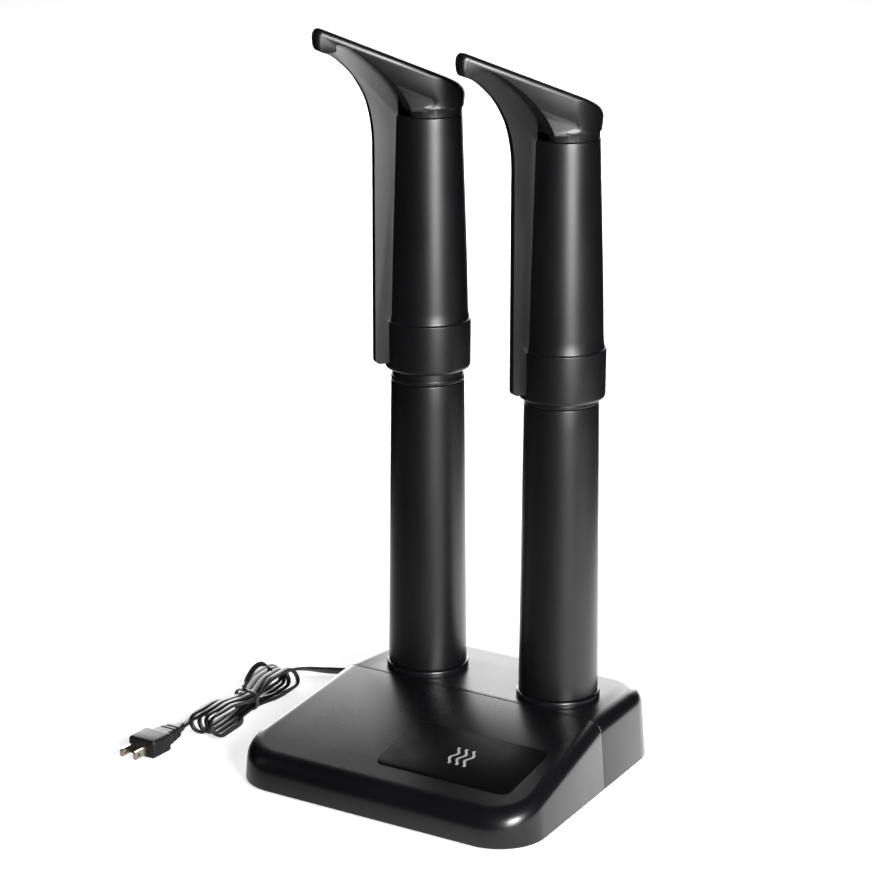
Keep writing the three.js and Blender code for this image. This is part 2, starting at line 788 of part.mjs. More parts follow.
for (const side of sides) {
  const unit = new THREE.Group();
  unit.position.set(side.x, tube.y, 0);
  group.add(unit);
  add(`${side.name}_collar`, collarRing(), 'shell', unit);
  add(`${side.name}_extension_tube`, extensionTube(), 'shell', unit);
  add(`${side.name}_coupling`, couplingRing(), 'shell', unit);
  const head = new THREE.Group();
  head.position.z = side.lift;
  head.rotation.z = THREE.MathUtils.degToRad(270 - side.yaw);
  unit.add(head);
  add(`${side.name}_tree_tube`, treeTube(), 'shell', head);
  add(`${side.name}_hood`, hoodShell(), 'shell', head);
}

// ---------------------------------------------------------------- supply cord

// A ribbed rubber sleeve: an inner flange, a neck through the wall, an outer flange and a taper.
function strainRelief() {
  const innerFace = relief.wallInner - GAP;
  const outerFace = relief.wallOuter + GAP;
  const tip = halfLength + relief.tipLength;
  const outline = [
    [0, innerFace - 2.5],
    [relief.innerFlange, innerFace - 2.5],
    [relief.innerFlange, innerFace],
    [relief.neck, innerFace],
    [relief.neck, outerFace],
    [relief.flange, outerFace],
    [relief.flange, outerFace + 3],
  ];
  const ribs = 3;
  const ribPitch = (tip - outerFace - 4) / ribs;
  for (let i = 0; i < ribs; i += 1) {
    const start = outerFace + 3 + i * ribPitch;
    const radius = 5.6 + ((relief.tip - 5.6) * i) / (ribs - 1);
    outline.push([radius - 0.9, start + 0.8], [radius - 0.9, start + 2], [radius, start + 2.4]);
    outline.push([radius - 0.2, start + ribPitch]);
  }
  outline.push([0, tip]);
  return alongY(turned(outline, ROUND_SIDES), cord.reliefX, 0, cord.exitZ);
}
add('strain_relief', strainRelief(), 'rubber');

const onEdge = cord.width / 2 + 0.1;

// From the strain relief round the back of the base and along the floor to the hank.
const leadRoute = [
  [cord.reliefX, cord.reliefTip + GAP, cord.exitZ],
  [cord.reliefX - 0.5, 152, 13.6],
  [-73, 162, 10],
  [-81, 172, 6],
  [-94, 176.5, 3.6],
  [-109, 173, onEdge],
  [-126, 160, onEdge],
  [-144, 143, onEdge],
  [-162, 126, onEdge],
  [-178, 114, onEdge],
  [-194, 106, onEdge],
  [-206, 100, onEdge + 1],
  [-214, 91.5, onEdge + 2.5],
  [-215, 80, onEdge + 4],
];
add('cord_lead', lead(leadRoute, cord.width / 2, cord.thickness / 2, 8, 26), 'lead');

// The wound length, tied at its waist. Sections: [y, middle x, half width, bottom, top].
const hankSections = [
  [75.5, -205.5, 6, 5.5, 11],
  [73.5, -205.5, 11, 3, 13.5],
  [67, -205, 16, 0.8, 15.5],
  [54, -204, 18.5, 0.2, 16.5],
  [38, -203, 17.5, 0.2, 17],
  [22, -202, 13, 0.8, 16.5],
  [12, -201, 9.6, 1.7, 15.5],
  [4, -200.5, 9.6, 1.7, 15.5],
  [-8, -199, 13.5, 0.8, 16],
  [-24, -197, 15.8, 0.2, 16],
  [-42, -195, 16.2, 0.2, 15],
  [-55, -193.5, 13.5, 0.4, 13.5],
  [-62, -193, 9, 1.5, 11],
  [-65, -193, 5, 3, 8],
];

function cordHank() {
  const around = 12;
  const rings = hankSections.map(([y, x, half, low, high]) => {
    const ring = [];
    for (let i = 0; i < around; i += 1) {
      const angle = (2 * Math.PI * i) / around;
      const squarer = (value) => Math.sign(value) * Math.abs(value) ** 0.8;
      const across = x + half * squarer(Math.cos(angle));
      const up = (low + high) / 2 + ((high - low) / 2) * squarer(Math.sin(angle));
      ring.push(new THREE.Vector3(across, y, up));
    }
    return ring;
  });
  return loft(rings);
}
add('cord_hank', cordHank(), 'lead');

// The tie: a band round the hank's waist, with its twisted ends arched back over the hank.
const tie = { middle: [-200.75, 8], halfWidth: 10.1, low: 1.3, high: 15.9, band: 0.8, halfLength: 2 };

function cordTie() {
  const outer = roundedRectangle(
    2 * (tie.halfWidth + tie.band),
    tie.high - tie.low + 2 * tie.band,
    4.5,
  );
  outer.holes.push(roundedRectangle(2 * tie.halfWidth, tie.high - tie.low, 4));
  const band = slab(outer, -tie.halfLength, tie.halfLength).rotateX(Math.PI / 2);
  band.translate(tie.middle[0], tie.middle[1], (tie.low + tie.high) / 2);
  const top = tie.high + tie.band;
  const tail = lead([
    [-203, 8, top - 0.4],
    [-203.1, 8.3, top + 1.4],
    [-204.2, 12, top + 3.2],
    [-207, 20, 22],
    [-210, 31, 25.5],
    [-210, 40, 26.5],
    [-207, 45, 24],
    [-205, 47, 20.5],
  ], 1.1, 1.6, 6, 12);
  return join(band, tail);
}
add('cord_tie', cordTie(), 'lead');

const plug = { x: -211, z: 7.4, tail: -61.8, gripEnd: -91, face: -113.5, halfWidth: 12.4, halfHeight: 7.2 };

add('plug_lead', lead([
  [-213.6, -38, 8],
  [-213.4, -46, 7.8],
  [-212.2, -54, 7.5],
  [plug.x, plug.tail + GAP, plug.z],
], cord.width / 2, cord.thickness / 2, 8, 8), 'lead');

// The moulded plug: sections along its length as [y, half width, half height].
function plugBody() {
  const sections = [
    [plug.tail, 2.6, 3.4],
    [plug.tail - 8, 4, 4.2],
    [plug.tail - 10, 6.4, 4.8],
    [plug.gripEnd + 4, 8.6, 6],
    [plug.gripEnd + 1, 8.2, 5.8],
    [plug.gripEnd - 1, plug.halfWidth, plug.halfHeight - 0.6],
    [plug.gripEnd - 3, plug.halfWidth, plug.halfHeight],
    [plug.face + 1, plug.halfWidth, plug.halfHeight],
    [plug.face, plug.halfWidth - 1, plug.halfHeight - 1],
  ];
  const rings = sections.map(([y, halfX, halfZ]) => {
    const corner = Math.min(2.5, halfX, halfZ) * 0.9;
    const arcs = [
      [halfX - corner, halfZ - corner, corner, 0, 90],
      [corner - halfX, halfZ - corner, corner, 90, 180],
      [corner - halfX, corner - halfZ, corner, 180, 270],
      [halfX - corner, corner - halfZ, corner, 270, 360],
    ];
    return planOutline(arcs, 2).map(({ point }) => new THREE.Vector3(plug.x + point.x, y, plug.z + point.y));
  });
  return loft(rings);
}

const blade = { spacing: 12.7, length: 17, width: 6.35, thickness: 1.5, root: 4, hole: 1.6 };

function bladePocket(x) {
  const low = [x - blade.thickness / 2 - GAP, plug.face - 1, plug.z - blade.width / 2 - GAP];
  const high = [x + blade.thickness / 2 + GAP, plug.face + blade.root + GAP, plug.z + blade.width / 2 + GAP];
  return block(low, high);
}

function plugBlade(x) {
  const shape = new THREE.Shape();
  const half = blade.width / 2;
  const tip = -blade.length;
  shape.moveTo(blade.root, -half);
  shape.lineTo(blade.root, half);
  shape.lineTo(tip + 1.2, half);
  shape.lineTo(tip, half - 1.4);
  shape.lineTo(tip, 1.4 - half);
  shape.lineTo(tip + 1.2, -half);
  shape.holes.push(circleHole(tip + 5, 0, blade.hole));
  const body = slab(shape, -blade.thickness / 2, blade.thickness / 2);
  body.rotateX(Math.PI / 2).rotateZ(Math.PI / 2);
  return body.translate(x, plug.face, plug.z);
}

const bladePlaces = [plug.x - blade.spacing / 2, plug.x + blade.spacing / 2];
add('plug_body', cut(plugBody(), ...bladePlaces.map(bladePocket)), 'lead');
bladePlaces.forEach((x, i) => add(`plug_blade_${i + 1}`, plugBlade(x), 'brass'));

export default group;
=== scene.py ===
"""Boot dryer: a satin black base, two warm-air tubes with hooded, finned trees, and a tied supply cord."""

import math

import bmesh
import bpy
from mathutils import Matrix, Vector


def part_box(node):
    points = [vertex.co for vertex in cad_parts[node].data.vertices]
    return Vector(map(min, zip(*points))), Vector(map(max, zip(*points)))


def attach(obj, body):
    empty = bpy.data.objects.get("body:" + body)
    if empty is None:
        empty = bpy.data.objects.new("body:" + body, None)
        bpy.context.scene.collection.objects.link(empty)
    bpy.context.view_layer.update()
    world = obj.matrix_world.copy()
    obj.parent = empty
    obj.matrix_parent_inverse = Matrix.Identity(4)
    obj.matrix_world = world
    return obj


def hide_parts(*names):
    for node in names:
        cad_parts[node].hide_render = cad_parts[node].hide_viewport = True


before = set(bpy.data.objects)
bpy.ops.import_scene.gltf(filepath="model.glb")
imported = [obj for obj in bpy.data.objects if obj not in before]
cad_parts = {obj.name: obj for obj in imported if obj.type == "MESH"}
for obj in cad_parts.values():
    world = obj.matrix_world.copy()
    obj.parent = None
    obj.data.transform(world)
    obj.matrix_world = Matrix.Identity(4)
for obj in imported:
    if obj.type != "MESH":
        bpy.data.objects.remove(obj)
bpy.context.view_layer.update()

MM = 0.001
scene = bpy.context.scene


# ---------------------------------------------------------------- camera, floor and light

CAMERA_AT = Vector((1.1594, -1.8248, 0.9117))
CAMERA_AIM = Vector((-0.0654, 0.0736, 0.2325))
LENS_MM = 127.6
SENSOR_MM = 36.0


def aim(obj, target):
    obj.rotation_euler = (Vector(target) - obj.location).to_track_quat("-Z", "Y").to_euler()


def make_camera():
    data = bpy.data.cameras.new("camera")
    data.lens = LENS_MM
    data.sensor_width = SENSOR_MM
    camera = bpy.data.objects.new("camera", data)
    camera.location = CAMERA_AT
    aim(camera, CAMERA_AIM)
    scene.collection.objects.link(camera)
    scene.camera = camera


def flat_material(name, colour, roughness):
    material = bpy.data.materials.new(name)
    material.use_nodes = True
    shader = material.node_tree.nodes["Principled BSDF"]
    shader.inputs["Base Color"].default_value = (*colour, 1)
    shader.inputs["Roughness"].default_value = roughness
    return material


VIEW_AZIMUTH = math.atan2(CAMERA_AT.x, -CAMERA_AT.y)


def round_the_object(azimuth, distance, height):
    """A place seen from the object at an azimuth, in degrees to the right of the camera's own."""
    angle = VIEW_AZIMUTH + math.radians(azimuth)
    return Vector((distance * math.sin(angle), -distance * math.cos(angle), height))


def glow_material(name, bottom, top, reach):
    """Light that fades along a panel's own Y, from bottom to top."""
    material = bpy.data.materials.new(name)
    material.use_nodes = True
    nodes, links = material.node_tree.nodes, material.node_tree.links
    nodes.clear()
    output = nodes.new("ShaderNodeOutputMaterial")
    emission = nodes.new("ShaderNodeEmission")
    coordinates = nodes.new("ShaderNodeTexCoord")
    separate = nodes.new("ShaderNodeSeparateXYZ")
    fade = nodes.new("ShaderNodeMapRange")
    fade.interpolation_type = "SMOOTHSTEP"
    for key, value in zip(("From Min", "From Max", "To Min", "To Max"), (-reach, reach, bottom, top)):
        fade.inputs[key].default_value = value
    links.new(coordinates.outputs["Object"], separate.inputs["Vector"])
    links.new(separate.outputs["Y"], fade.inputs["Value"])
    links.new(fade.outputs["Result"], emission.inputs["Strength"])
    links.new(emission.outputs["Emission"], output.inputs["Surface"])
    return material


def panel(name, half_width, half_height, material):
    """A flat stage panel, which isn't part of the object."""
    mesh = bpy.data.meshes.new(name)
    corners = [(-half_width, -half_height, 0), (half_width, -half_height, 0)]
    corners += [(half_width, half_height, 0), (-half_width, half_height, 0)]
    mesh.from_pydata(corners, [], [(0, 1, 2, 3)])
    mesh.materials.append(material)
    obj = bpy.data.objects.new(name, mesh)
    scene.collection.objects.link(obj)
    return obj


def light_card(name, at, size, bottom, top):
    """A soft upright light panel that faces the object and is brighter at its top or its bottom."""
    card = panel(name, size[0] / 2, size[1] / 2, glow_material(name, bottom, top, size[1] / 2))
    card.location = at
    aim(card, (0, 0, at.z))
    card.visible_camera = False
    card.visible_shadow = False


def make_floor():
    """White paper: only the camera sees it, and a glow in its place is what the gloss reflects."""
    paper = flat_material("floor_paper", (0.86, 0.86, 0.87), 0.9)
    shader = paper.node_tree.nodes["Principled BSDF"]
    shader.inputs["Emission Color"].default_value = (1, 1, 1, 1)
    shader.inputs["Emission Strength"].default_value = 0.62
    floor = panel("floor", 12.0, 12.0, paper)
    floor.location.z = -0.0006
    floor.visible_glossy = False
    floor.visible_diffuse = False

    glow = panel("floor_glow", 0.6, 0.6, glow_material("floor_glow", 0.2, 2.5, 0.32))
    glow.location.z = -0.0003
    glow.rotation_euler.z = math.radians(-30)
    glow.visible_camera = False
    glow.visible_diffuse = False
    glow.visible_shadow = False


def make_studio():
    """A white sweep: bright behind, one soft box to the camera's right, and dark all round otherwise."""
    make_floor()
    world = bpy.data.worlds.new("studio")
    world.use_nodes = True
    background = world.node_tree.nodes["Background"]
    background.inputs["Color"].default_value = (1, 1, 1, 1)
    background.inputs["Strength"].default_value = 1.15
    world.cycles_visibility.glossy = False
    world.cycles_visibility.diffuse = False
    scene.world = world
    scene.view_settings.view_transform = "Standard"

    light_card("soft_box", round_the_object(25, 1.30, 0.47), (0.50, 0.90), 0.6, 66.0)
    light_card("backdrop", round_the_object(180, 2.3, 1.10), (2.0, 2.2), 8.0, 0.1)
    light_card("left_fill", round_the_object(-95, 1.9, 0.9), (0.5, 1.2), 0.2, 0.5)


make_camera()
make_studio()


# ---------------------------------------------------------------- mesh helpers

def linked(name, mesh):
    obj = bpy.data.objects.new(name, mesh)
    scene.collection.objects.link(obj)
    return obj


def polygon_mesh(name, vertices, faces):
    """A mesh from points in millimetres."""
    mesh = bpy.data.meshes.new(name)
    mesh.from_pydata([tuple(c * MM for c in v) for v in vertices], [], faces)
    mesh.validate()
    return mesh


def apply_modifiers(obj):
    graph = bpy.context.evaluated_depsgraph_get()
    mesh = bpy.data.meshes.new_from_object(obj.evaluated_get(graph))
    obj.modifiers.clear()
    obj.data = mesh


def boolean(obj, operation, *others):
    for other in others:
        modifier = obj.modifiers.new(operation.lower(), "BOOLEAN")
        modifier.operation = operation
        modifier.solver = "EXACT"
        modifier.object = other
        apply_modifiers(obj)
        bpy.data.objects.remove(other)


def bevel(obj, width, segments=3, angle=50):
    modifier = obj.modifiers.new("edges", "BEVEL")
    modifier.width = width * MM
    modifier.segments = segments
    modifier.limit_method = "ANGLE"
    modifier.angle_limit = math.radians(angle)
    modifier.use_clamp_overlap = True
    apply_modifiers(obj)


def smooth(obj, angle=32):
    obj.data.shade_smooth()
    obj.data.set_sharp_from_angle(angle=math.radians(angle))


def finish_piece(obj, body, material, replaces=(), angle=32):
    smooth(obj, angle)
    obj.data.materials.clear()
    obj.data.materials.append(material)
    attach(obj, body)
    if replaces:
        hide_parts(*replaces)
    return obj


def eased(outline, radii, steps=5):
    """An open or closed [r, z] outline with its corners eased to the given radii."""
    points = [Vector(p) for p in outline]
    count = len(points)
    result = []
    for i, point in enumerate(points):
        radius = radii.get(i, 0)
        before, after = points[i - 1], points[(i + 1) % count]
        if radius <= 0:
            result.append(tuple(point))
            continue
        back = (before - point).normalized() * min(radius, 0.45 * (before - point).length)
        ahead = (after - point).normalized() * min(radius, 0.45 * (after - point).length)
        for k in range(steps + 1):
            t = k / steps
            at = point + back * (1 - t) ** 2 + ahead * t ** 2
            result.append(tuple(at))
    return result


def turned(name, outline, centre=(0, 0), sides=128):
    """A body turned about a vertical axis; the closed [r, z] outline runs counter-clockwise in (r, z)."""
    count = len(outline)
    vertices, faces = [], []
    for i in range(sides):
        angle = 2 * math.pi * i / sides
        for r, z in outline:
            vertices.append((centre[0] + r * math.cos(angle), centre[1] + r * math.sin(angle), z))
    for i in range(sides):
        here, there = i * count, ((i + 1) % sides) * count
        for k in range(count):
            m = (k + 1) % count
            faces.append((here + k, there + k, there + m, here + m))
    obj = linked(name, polygon_mesh(name, vertices, faces))
    clean(obj)
    return obj


def clean(obj):
    """Merges doubled points and turns all faces outward."""
    work = bmesh.new()
    work.from_mesh(obj.data)
    bmesh.ops.remove_doubles(work, verts=work.verts, dist=1e-7)
    bmesh.ops.dissolve_degenerate(work, edges=work.edges, dist=1e-7)
    bmesh.ops.recalc_face_normals(work, faces=work.faces)
    work.to_mesh(obj.data)
    work.free()


def lofted(name, rings, cap_first=True, cap_last=True):
    count = len(rings[0])
    vertices = [v for ring in rings for v in ring]
    faces = []
    for k in range(len(rings) - 1):
        for i in range(count):
            j = (i + 1) % count
            faces.append((k * count + i, k * count + j, (k + 1) * count + j, (k + 1) * count + i))
    if cap_first:
        faces.append(tuple(reversed(range(count))))
    if cap_last:
        faces.append(tuple(range((len(rings) - 1) * count, len(rings) * count)))
    return linked(name, polygon_mesh(name, vertices, faces))


def plan_outline(corners, steps):
    """(point, normal) pairs round corner circles given as (x, y, radius, from, to), in degrees."""
    outline = []
    for x, y, radius, start, end in corners:
        for i in range(steps + 1):
            angle = math.radians(start + (end - start) * i / steps)
            normal = Vector((math.cos(angle), math.sin(angle)))
            outline.append((Vector((x, y)) + normal * radius, normal))
    return outline


def rounded_rings(outline, bottom, top_at, edge_at, draft, inset=0.0, edge_steps=8, cap_margin=1.5):
    """Rings of a body with drafted walls, a rounded top edge and a tilted flat top."""
    def place(point, normal, depth, extra):
        at, z = point.copy(), bottom
        for _ in range(4):
            if depth is not None:
                z = top_at(at) - inset - depth
            at = point - normal * (inset + max(0.0, z - bottom) * draft + extra)
        return at.x, at.y, z

    rings = [[place(p, n, None, 0) for p, n in outline]]
    for k in range(edge_steps + 1):
        angle = math.pi / 2 * k / edge_steps
        ring = []
        for p, n in outline:
            radius = edge_at(n) - inset
            ring.append(place(p, n, radius * (1 - math.sin(angle)), radius * (1 - math.cos(angle))))
        rings.append(ring)
    rings.append([place(p, n, 0, edge_at(n) - inset + cap_margin) for p, n in outline])
    return rings


def slab(name, outline, low, high):
    """An upright prism over an (x, y) outline."""
    return lofted(name, [[(x, y, z) for x, y in outline] for z in (low, high)])


def smoothstep(t):
    t = max(0.0, min(1.0, t))
    return t * t * (3 - 2 * t)


def catmull(points, per_span):
    """A smooth curve through points."""
    points = [Vector(p) for p in points]
    padded = [2 * points[0] - points[1], *points, 2 * points[-1] - points[-2]]
    curve = []
    for i in range(1, len(padded) - 2):
        a, b, c, d = padded[i - 1:i + 3]
        for k in range(per_span):
            t = k / per_span
            curve.append(0.5 * (
                2 * b + (c - a) * t + (2 * a - 5 * b + 4 * c - d) * t ** 2 + (3 * b - a - 3 * c + d) * t ** 3
            ))
    curve.append(points[-1])
    return curve


def swept(name, path, section, uprights=None):
    """A closed tube: each section point is (along the upright, along the side)."""
    rings = []
    for i, at in enumerate(path):
        tangent = (path[min(i + 1, len(path) - 1)] - path[max(i - 1, 0)]).normalized()
        upright = Vector((0, 0, 1)) if uprights is None else Vector(uprights[i])
        upright = (upright - tangent * upright.dot(tangent)).normalized()
        side = tangent.cross(upright)
        rings.append([tuple(at + upright * u + side * s) for u, s in section])
    obj = lofted(name, rings)
    clean(obj)
    return obj


# ---------------------------------------------------------------- materials

class Nodes:
    """A material's node tree with short calls for what every finish here needs."""

    def __init__(self, name):
        self.material = bpy.data.materials.new(name)
        self.material.use_nodes = True
        self.tree = self.material.node_tree
        self.shader = self.tree.nodes["Principled BSDF"]
        self.coordinates = self.tree.nodes.new("ShaderNodeTexCoord").outputs["Object"]

    def link(self, value, socket):
        if isinstance(value, (int, float)):
            socket.default_value = value
        elif isinstance(value, tuple):
            socket.default_value = (*value, 1)
        else:
            self.tree.links.new(value, socket)

    def noise(self, scale, detail=3.0, roughness=0.55, stretch=None):
        node = self.tree.nodes.new("ShaderNodeTexNoise")
        node.inputs["Scale"].default_value = scale
        node.inputs["Detail"].default_value = detail
        node.inputs["Roughness"].default_value = roughness
        vector = self.coordinates
        if stretch:
            mapping = self.tree.nodes.new("ShaderNodeMapping")
            mapping.inputs["Scale"].default_value = stretch
            self.tree.links.new(vector, mapping.inputs["Vector"])
            vector = mapping.outputs["Vector"]
        self.tree.links.new(vector, node.inputs["Vector"])
        return node.outputs["Fac"]

    def mapped(self, value, low, high, out_low, out_high):
        node = self.tree.nodes.new("ShaderNodeMapRange")
        self.link(value, node.inputs["Value"])
        for key, number in zip(("From Min", "From Max", "To Min", "To Max"), (low, high, out_low, out_high)):
            node.inputs[key].default_value = number
        return node.outputs["Result"]

    def mix(self, factor, first, second):
        node = self.tree.nodes.new("ShaderNodeMix")
        node.data_type = "RGBA"
        self.link(factor, node.inputs["Factor"])
        self.link(first, node.inputs["A"])
        self.link(second, node.inputs["B"])
        return node.outputs["Result"]

    def math(self, operation, first, second=0.0):
        node = self.tree.nodes.new("ShaderNodeMath")
        node.operation = operation
        self.link(first, node.inputs[0])
        self.link(second, node.inputs[1])
        return node.outputs["Value"]

    def axis(self, name):
        node = self.tree.nodes.new("ShaderNodeSeparateXYZ")
        self.tree.links.new(self.coordinates, node.inputs["Vector"])
        return node.outputs[name]

    def edge_wear(self, low, high):
        geometry = self.tree.nodes.new("ShaderNodeNewGeometry")
        return self.mapped(geometry.outputs["Pointiness"], low, high, 0, 1)

    def bump(self, height, strength, distance):
        node = self.tree.nodes.new("ShaderNodeBump")
        node.inputs["Strength"].default_value = strength
        node.inputs["Distance"].default_value = distance
        self.link(height, node.inputs["Height"])
        self.tree.links.new(node.outputs["Normal"], self.shader.inputs["Normal"])

    def set(self, **values):
        for key, value in values.items():
            self.link(value, self.shader.inputs[key.replace("_", " ")])
        return self.material


def moulded_plastic(name, dark, light, rough, grain=1400, bump=0.06, specular=0.5):
    """Moulded plastic: fine grain, faint colour drift, smears in the gloss, paler rubbed edges."""
    n = Nodes(name)
    drift = n.mapped(n.noise(14, 4), 0.3, 0.7, 0, 1)
    smears = n.noise(38, 5, 0.6, stretch=(1, 1, 0.35))
    wear = n.edge_wear(0.53, 0.62)
    scratches = n.mapped(n.noise(220, 2, 0.7, stretch=(1, 5, 0.6)), 0.62, 0.82, 0, 0.012)
    colour = n.mix(drift, dark, light)
    colour = n.mix(n.math("MULTIPLY", wear, 0.35), colour, tuple(min(1.0, c * 3 + 0.02) for c in light))
    roughness = n.mapped(smears, 0.3, 0.7, rough[0], rough[1])
    roughness = n.math("ADD", roughness, scratches)
    roughness = n.math("ADD", roughness, n.math("MULTIPLY", wear, 0.08))
    n.bump(n.noise(grain, 2), bump, 0.0004)
    material = n.set(Base_Color=colour, Roughness=roughness)
    n.shader.inputs["Specular IOR Level"].default_value = specular
    return material


def rubber(name, colour, rough=(0.55, 0.75)):
    n = Nodes(name)
    dust = n.mapped(n.noise(160, 5, 0.7), 0.5, 0.75, 0, 0.5)
    n.bump(n.noise(2600, 3), 0.25, 0.0003)
    return n.set(
        Base_Color=n.mix(dust, colour, tuple(c * 2 + 0.02 for c in colour)),
        Roughness=n.mapped(n.noise(90), 0.3, 0.7, *rough),
    )


def metal(name, colour, tarnish, rough, stretch=(1, 1, 12), scale=500):
    """Bright metal with drawn streaks and tarnish in patches."""
    n = Nodes(name)
    streaks = n.noise(scale, 3, 0.6, stretch=stretch)
    patches = n.mapped(n.noise(120, 4), 0.45, 0.75, 0, 0.6)
    n.bump(streaks, 0.1, 0.0002)
    n.shader.inputs["Metallic"].default_value = 1.0
    return n.set(
        Base_Color=n.mix(patches, colour, tarnish),
        Roughness=n.mapped(streaks, 0.3, 0.7, *rough),
    )


def ceramic(name):
    n = Nodes(name)
    specks = n.mapped(n.noise(900, 4, 0.7), 0.6, 0.75, 0, 0.6)
    n.bump(n.noise(1800, 4), 0.3, 0.0004)
    return n.set(
        Base_Color=n.mix(specks, (0.74, 0.70, 0.61), (0.42, 0.37, 0.30)),
        Roughness=n.mapped(n.noise(300), 0.3, 0.7, 0.62, 0.85),
    )


def braided_sleeve(name):
    """Glass-fibre sleeving: a fine crossed braid."""
    n = Nodes(name)
    wave = n.tree.nodes.new("ShaderNodeTexWave")
    wave.inputs["Scale"].default_value = 900
    wave.inputs["Distortion"].default_value = 2
    n.tree.links.new(n.coordinates, wave.inputs["Vector"])
    n.bump(wave.outputs["Fac"], 0.5, 0.0004)
    return n.set(
        Base_Color=n.mix(wave.outputs["Fac"], (0.72, 0.69, 0.60), (0.50, 0.47, 0.40)),
        Roughness=n.mapped(n.noise(500), 0.3, 0.7, 0.55, 0.75),
    )


BASE_BLACK = moulded_plastic(
    "base_black", (0.0030, 0.0030, 0.0036), (0.0050, 0.0050, 0.0060), (0.26, 0.31), bump=0.03,
)
TUBE_BLACK = moulded_plastic(
    "tube_black", (0.0022, 0.0022, 0.0027), (0.0036, 0.0036, 0.0043), (0.33, 0.39), bump=0.03,
)
UNDER_BLACK = moulded_plastic(
    "under_black", (0.014, 0.014, 0.015), (0.022, 0.022, 0.024), (0.45, 0.6), grain=700, bump=0.3,
)
CORD_BLACK = moulded_plastic(
    "cord_black", (0.0025, 0.0025, 0.0028), (0.0055, 0.0055, 0.006), (0.36, 0.46), grain=2600, bump=0.1,
)
PLUG_BLACK = moulded_plastic(
    "plug_black", (0.003, 0.003, 0.0034), (0.007, 0.007, 0.008), (0.40, 0.50), grain=1800, bump=0.15,
)
TIE_BLACK = moulded_plastic(
    "tie_black", (0.003, 0.003, 0.0034), (0.008, 0.008, 0.009), (0.28, 0.40), grain=3000, bump=0.15,
)
RUBBER = rubber("foot_rubber", (0.018, 0.018, 0.018))
RELIEF_RUBBER = rubber("relief_rubber", (0.012, 0.012, 0.013), (0.42, 0.58))
ZINC = metal("zinc_steel", (0.62, 0.63, 0.64), (0.42, 0.42, 0.40), (0.28, 0.42))
BRASS = metal("formed_brass", (0.80, 0.62, 0.34), (0.52, 0.36, 0.18), (0.18, 0.32))
BLADE_METAL = metal("plated_blade", (0.80, 0.72, 0.60), (0.62, 0.46, 0.34), (0.14, 0.26), stretch=(1, 9, 1))
HEATING_WIRE = metal("heating_wire", (0.34, 0.31, 0.28), (0.14, 0.12, 0.13), (0.35, 0.55))
CERAMIC = ceramic("steatite")
SLEEVE = braided_sleeve("fibre_sleeve")


# ---------------------------------------------------------------- base shells

BASE_LOW, BASE_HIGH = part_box("rear_housing")
HALF_LENGTH = BASE_HIGH.y / MM
BASE_BOTTOM = BASE_LOW.z / MM
BASE_TOP = BASE_HIGH.z / MM
SEAM_Y = 20.7
SEAM_GAP = 0.3
FRONT_HALF_WIDTH = 130.0
REAR_HALF_WIDTH = 111.0
FRONT_CORNER = 37.0
REAR_CORNER = 38.0
SLOPE = math.tan(math.radians(11.4))
DRAFT = math.tan(math.radians(4.4))
SHELL = 2.5
SIDE_EDGE = 10.0
END_EDGE = 12.0
CORNER_STEPS = 22
SIDE_LEAN = math.atan2(FRONT_HALF_WIDTH - REAR_HALF_WIDTH, 2 * HALF_LENGTH)


def corner_centre(radius, end_y):
    y = end_y - math.copysign(radius, end_y)
    reach = FRONT_HALF_WIDTH * math.cos(SIDE_LEAN) - HALF_LENGTH * math.sin(SIDE_LEAN) - radius
    return (reach - y * math.sin(SIDE_LEAN)) / math.cos(SIDE_LEAN), y


def base_plan():
    front_x, front_y = corner_centre(FRONT_CORNER, -HALF_LENGTH)
    rear_x, rear_y = corner_centre(REAR_CORNER, HALF_LENGTH)
    tilt = math.degrees(SIDE_LEAN)
    return plan_outline([
        (front_x, front_y, FRONT_CORNER, -90, tilt),
        (rear_x, rear_y, REAR_CORNER, tilt, 90),
        (-rear_x, rear_y, REAR_CORNER, 90, 180 - tilt),
        (-front_x, front_y, FRONT_CORNER, 180 - tilt, 270),
    ], CORNER_STEPS)


def slope_top(at):
    return BASE_TOP - (SEAM_Y - at.y) * SLOPE


def base_edge(normal):
    return SIDE_EDGE + (END_EDGE - SIDE_EDGE) * abs(normal.y)


def base_shell(name, top_at, keep_front):
    """One half of the base: the moulded skin, cut at the seam and thickened inward."""
    rings = rounded_rings(base_plan(), BASE_BOTTOM, top_at, base_edge, DRAFT)
    obj = lofted(name, rings, cap_first=False)
    work = bmesh.new()
    work.from_mesh(obj.data)
    side = -1 if keep_front else 1
    bmesh.ops.bisect_plane(
        work,
        geom=[*work.verts, *work.edges, *work.faces],
        plane_co=(0, (SEAM_Y + side * SEAM_GAP / 2) * MM, 0),
        plane_no=(0, -side, 0),
        clear_outer=True,
    )
    bmesh.ops.recalc_face_normals(work, faces=work.faces)
    work.to_mesh(obj.data)
    work.free()
    if obj.data.polygons[len(obj.data.polygons) - 1].normal.z < 0:
        obj.data.flip_normals()
    solidify = obj.modifiers.new("wall", "SOLIDIFY")
    solidify.thickness = SHELL * MM
    solidify.offset = -1
    solidify.use_even_offset = True
    apply_modifiers(obj)
    bevel(obj, 0.5, 3, 60)
    return obj


def corner_circles(x, y, corner):
    """A rectangle's four corners, as plan_outline takes them."""
    return [
        (x, y, corner, 0, 90),
        (-x, y, corner, 90, 180),
        (-x, -y, corner, 180, 270),
        (x, -y, corner, 270, 360),
    ]


def rounded_rectangle(width, depth, corner, steps=10):
    corners = corner_circles(width / 2 - corner, depth / 2 - corner, corner)
    return [tuple(p) for p, _ in plan_outline(corners, steps)]


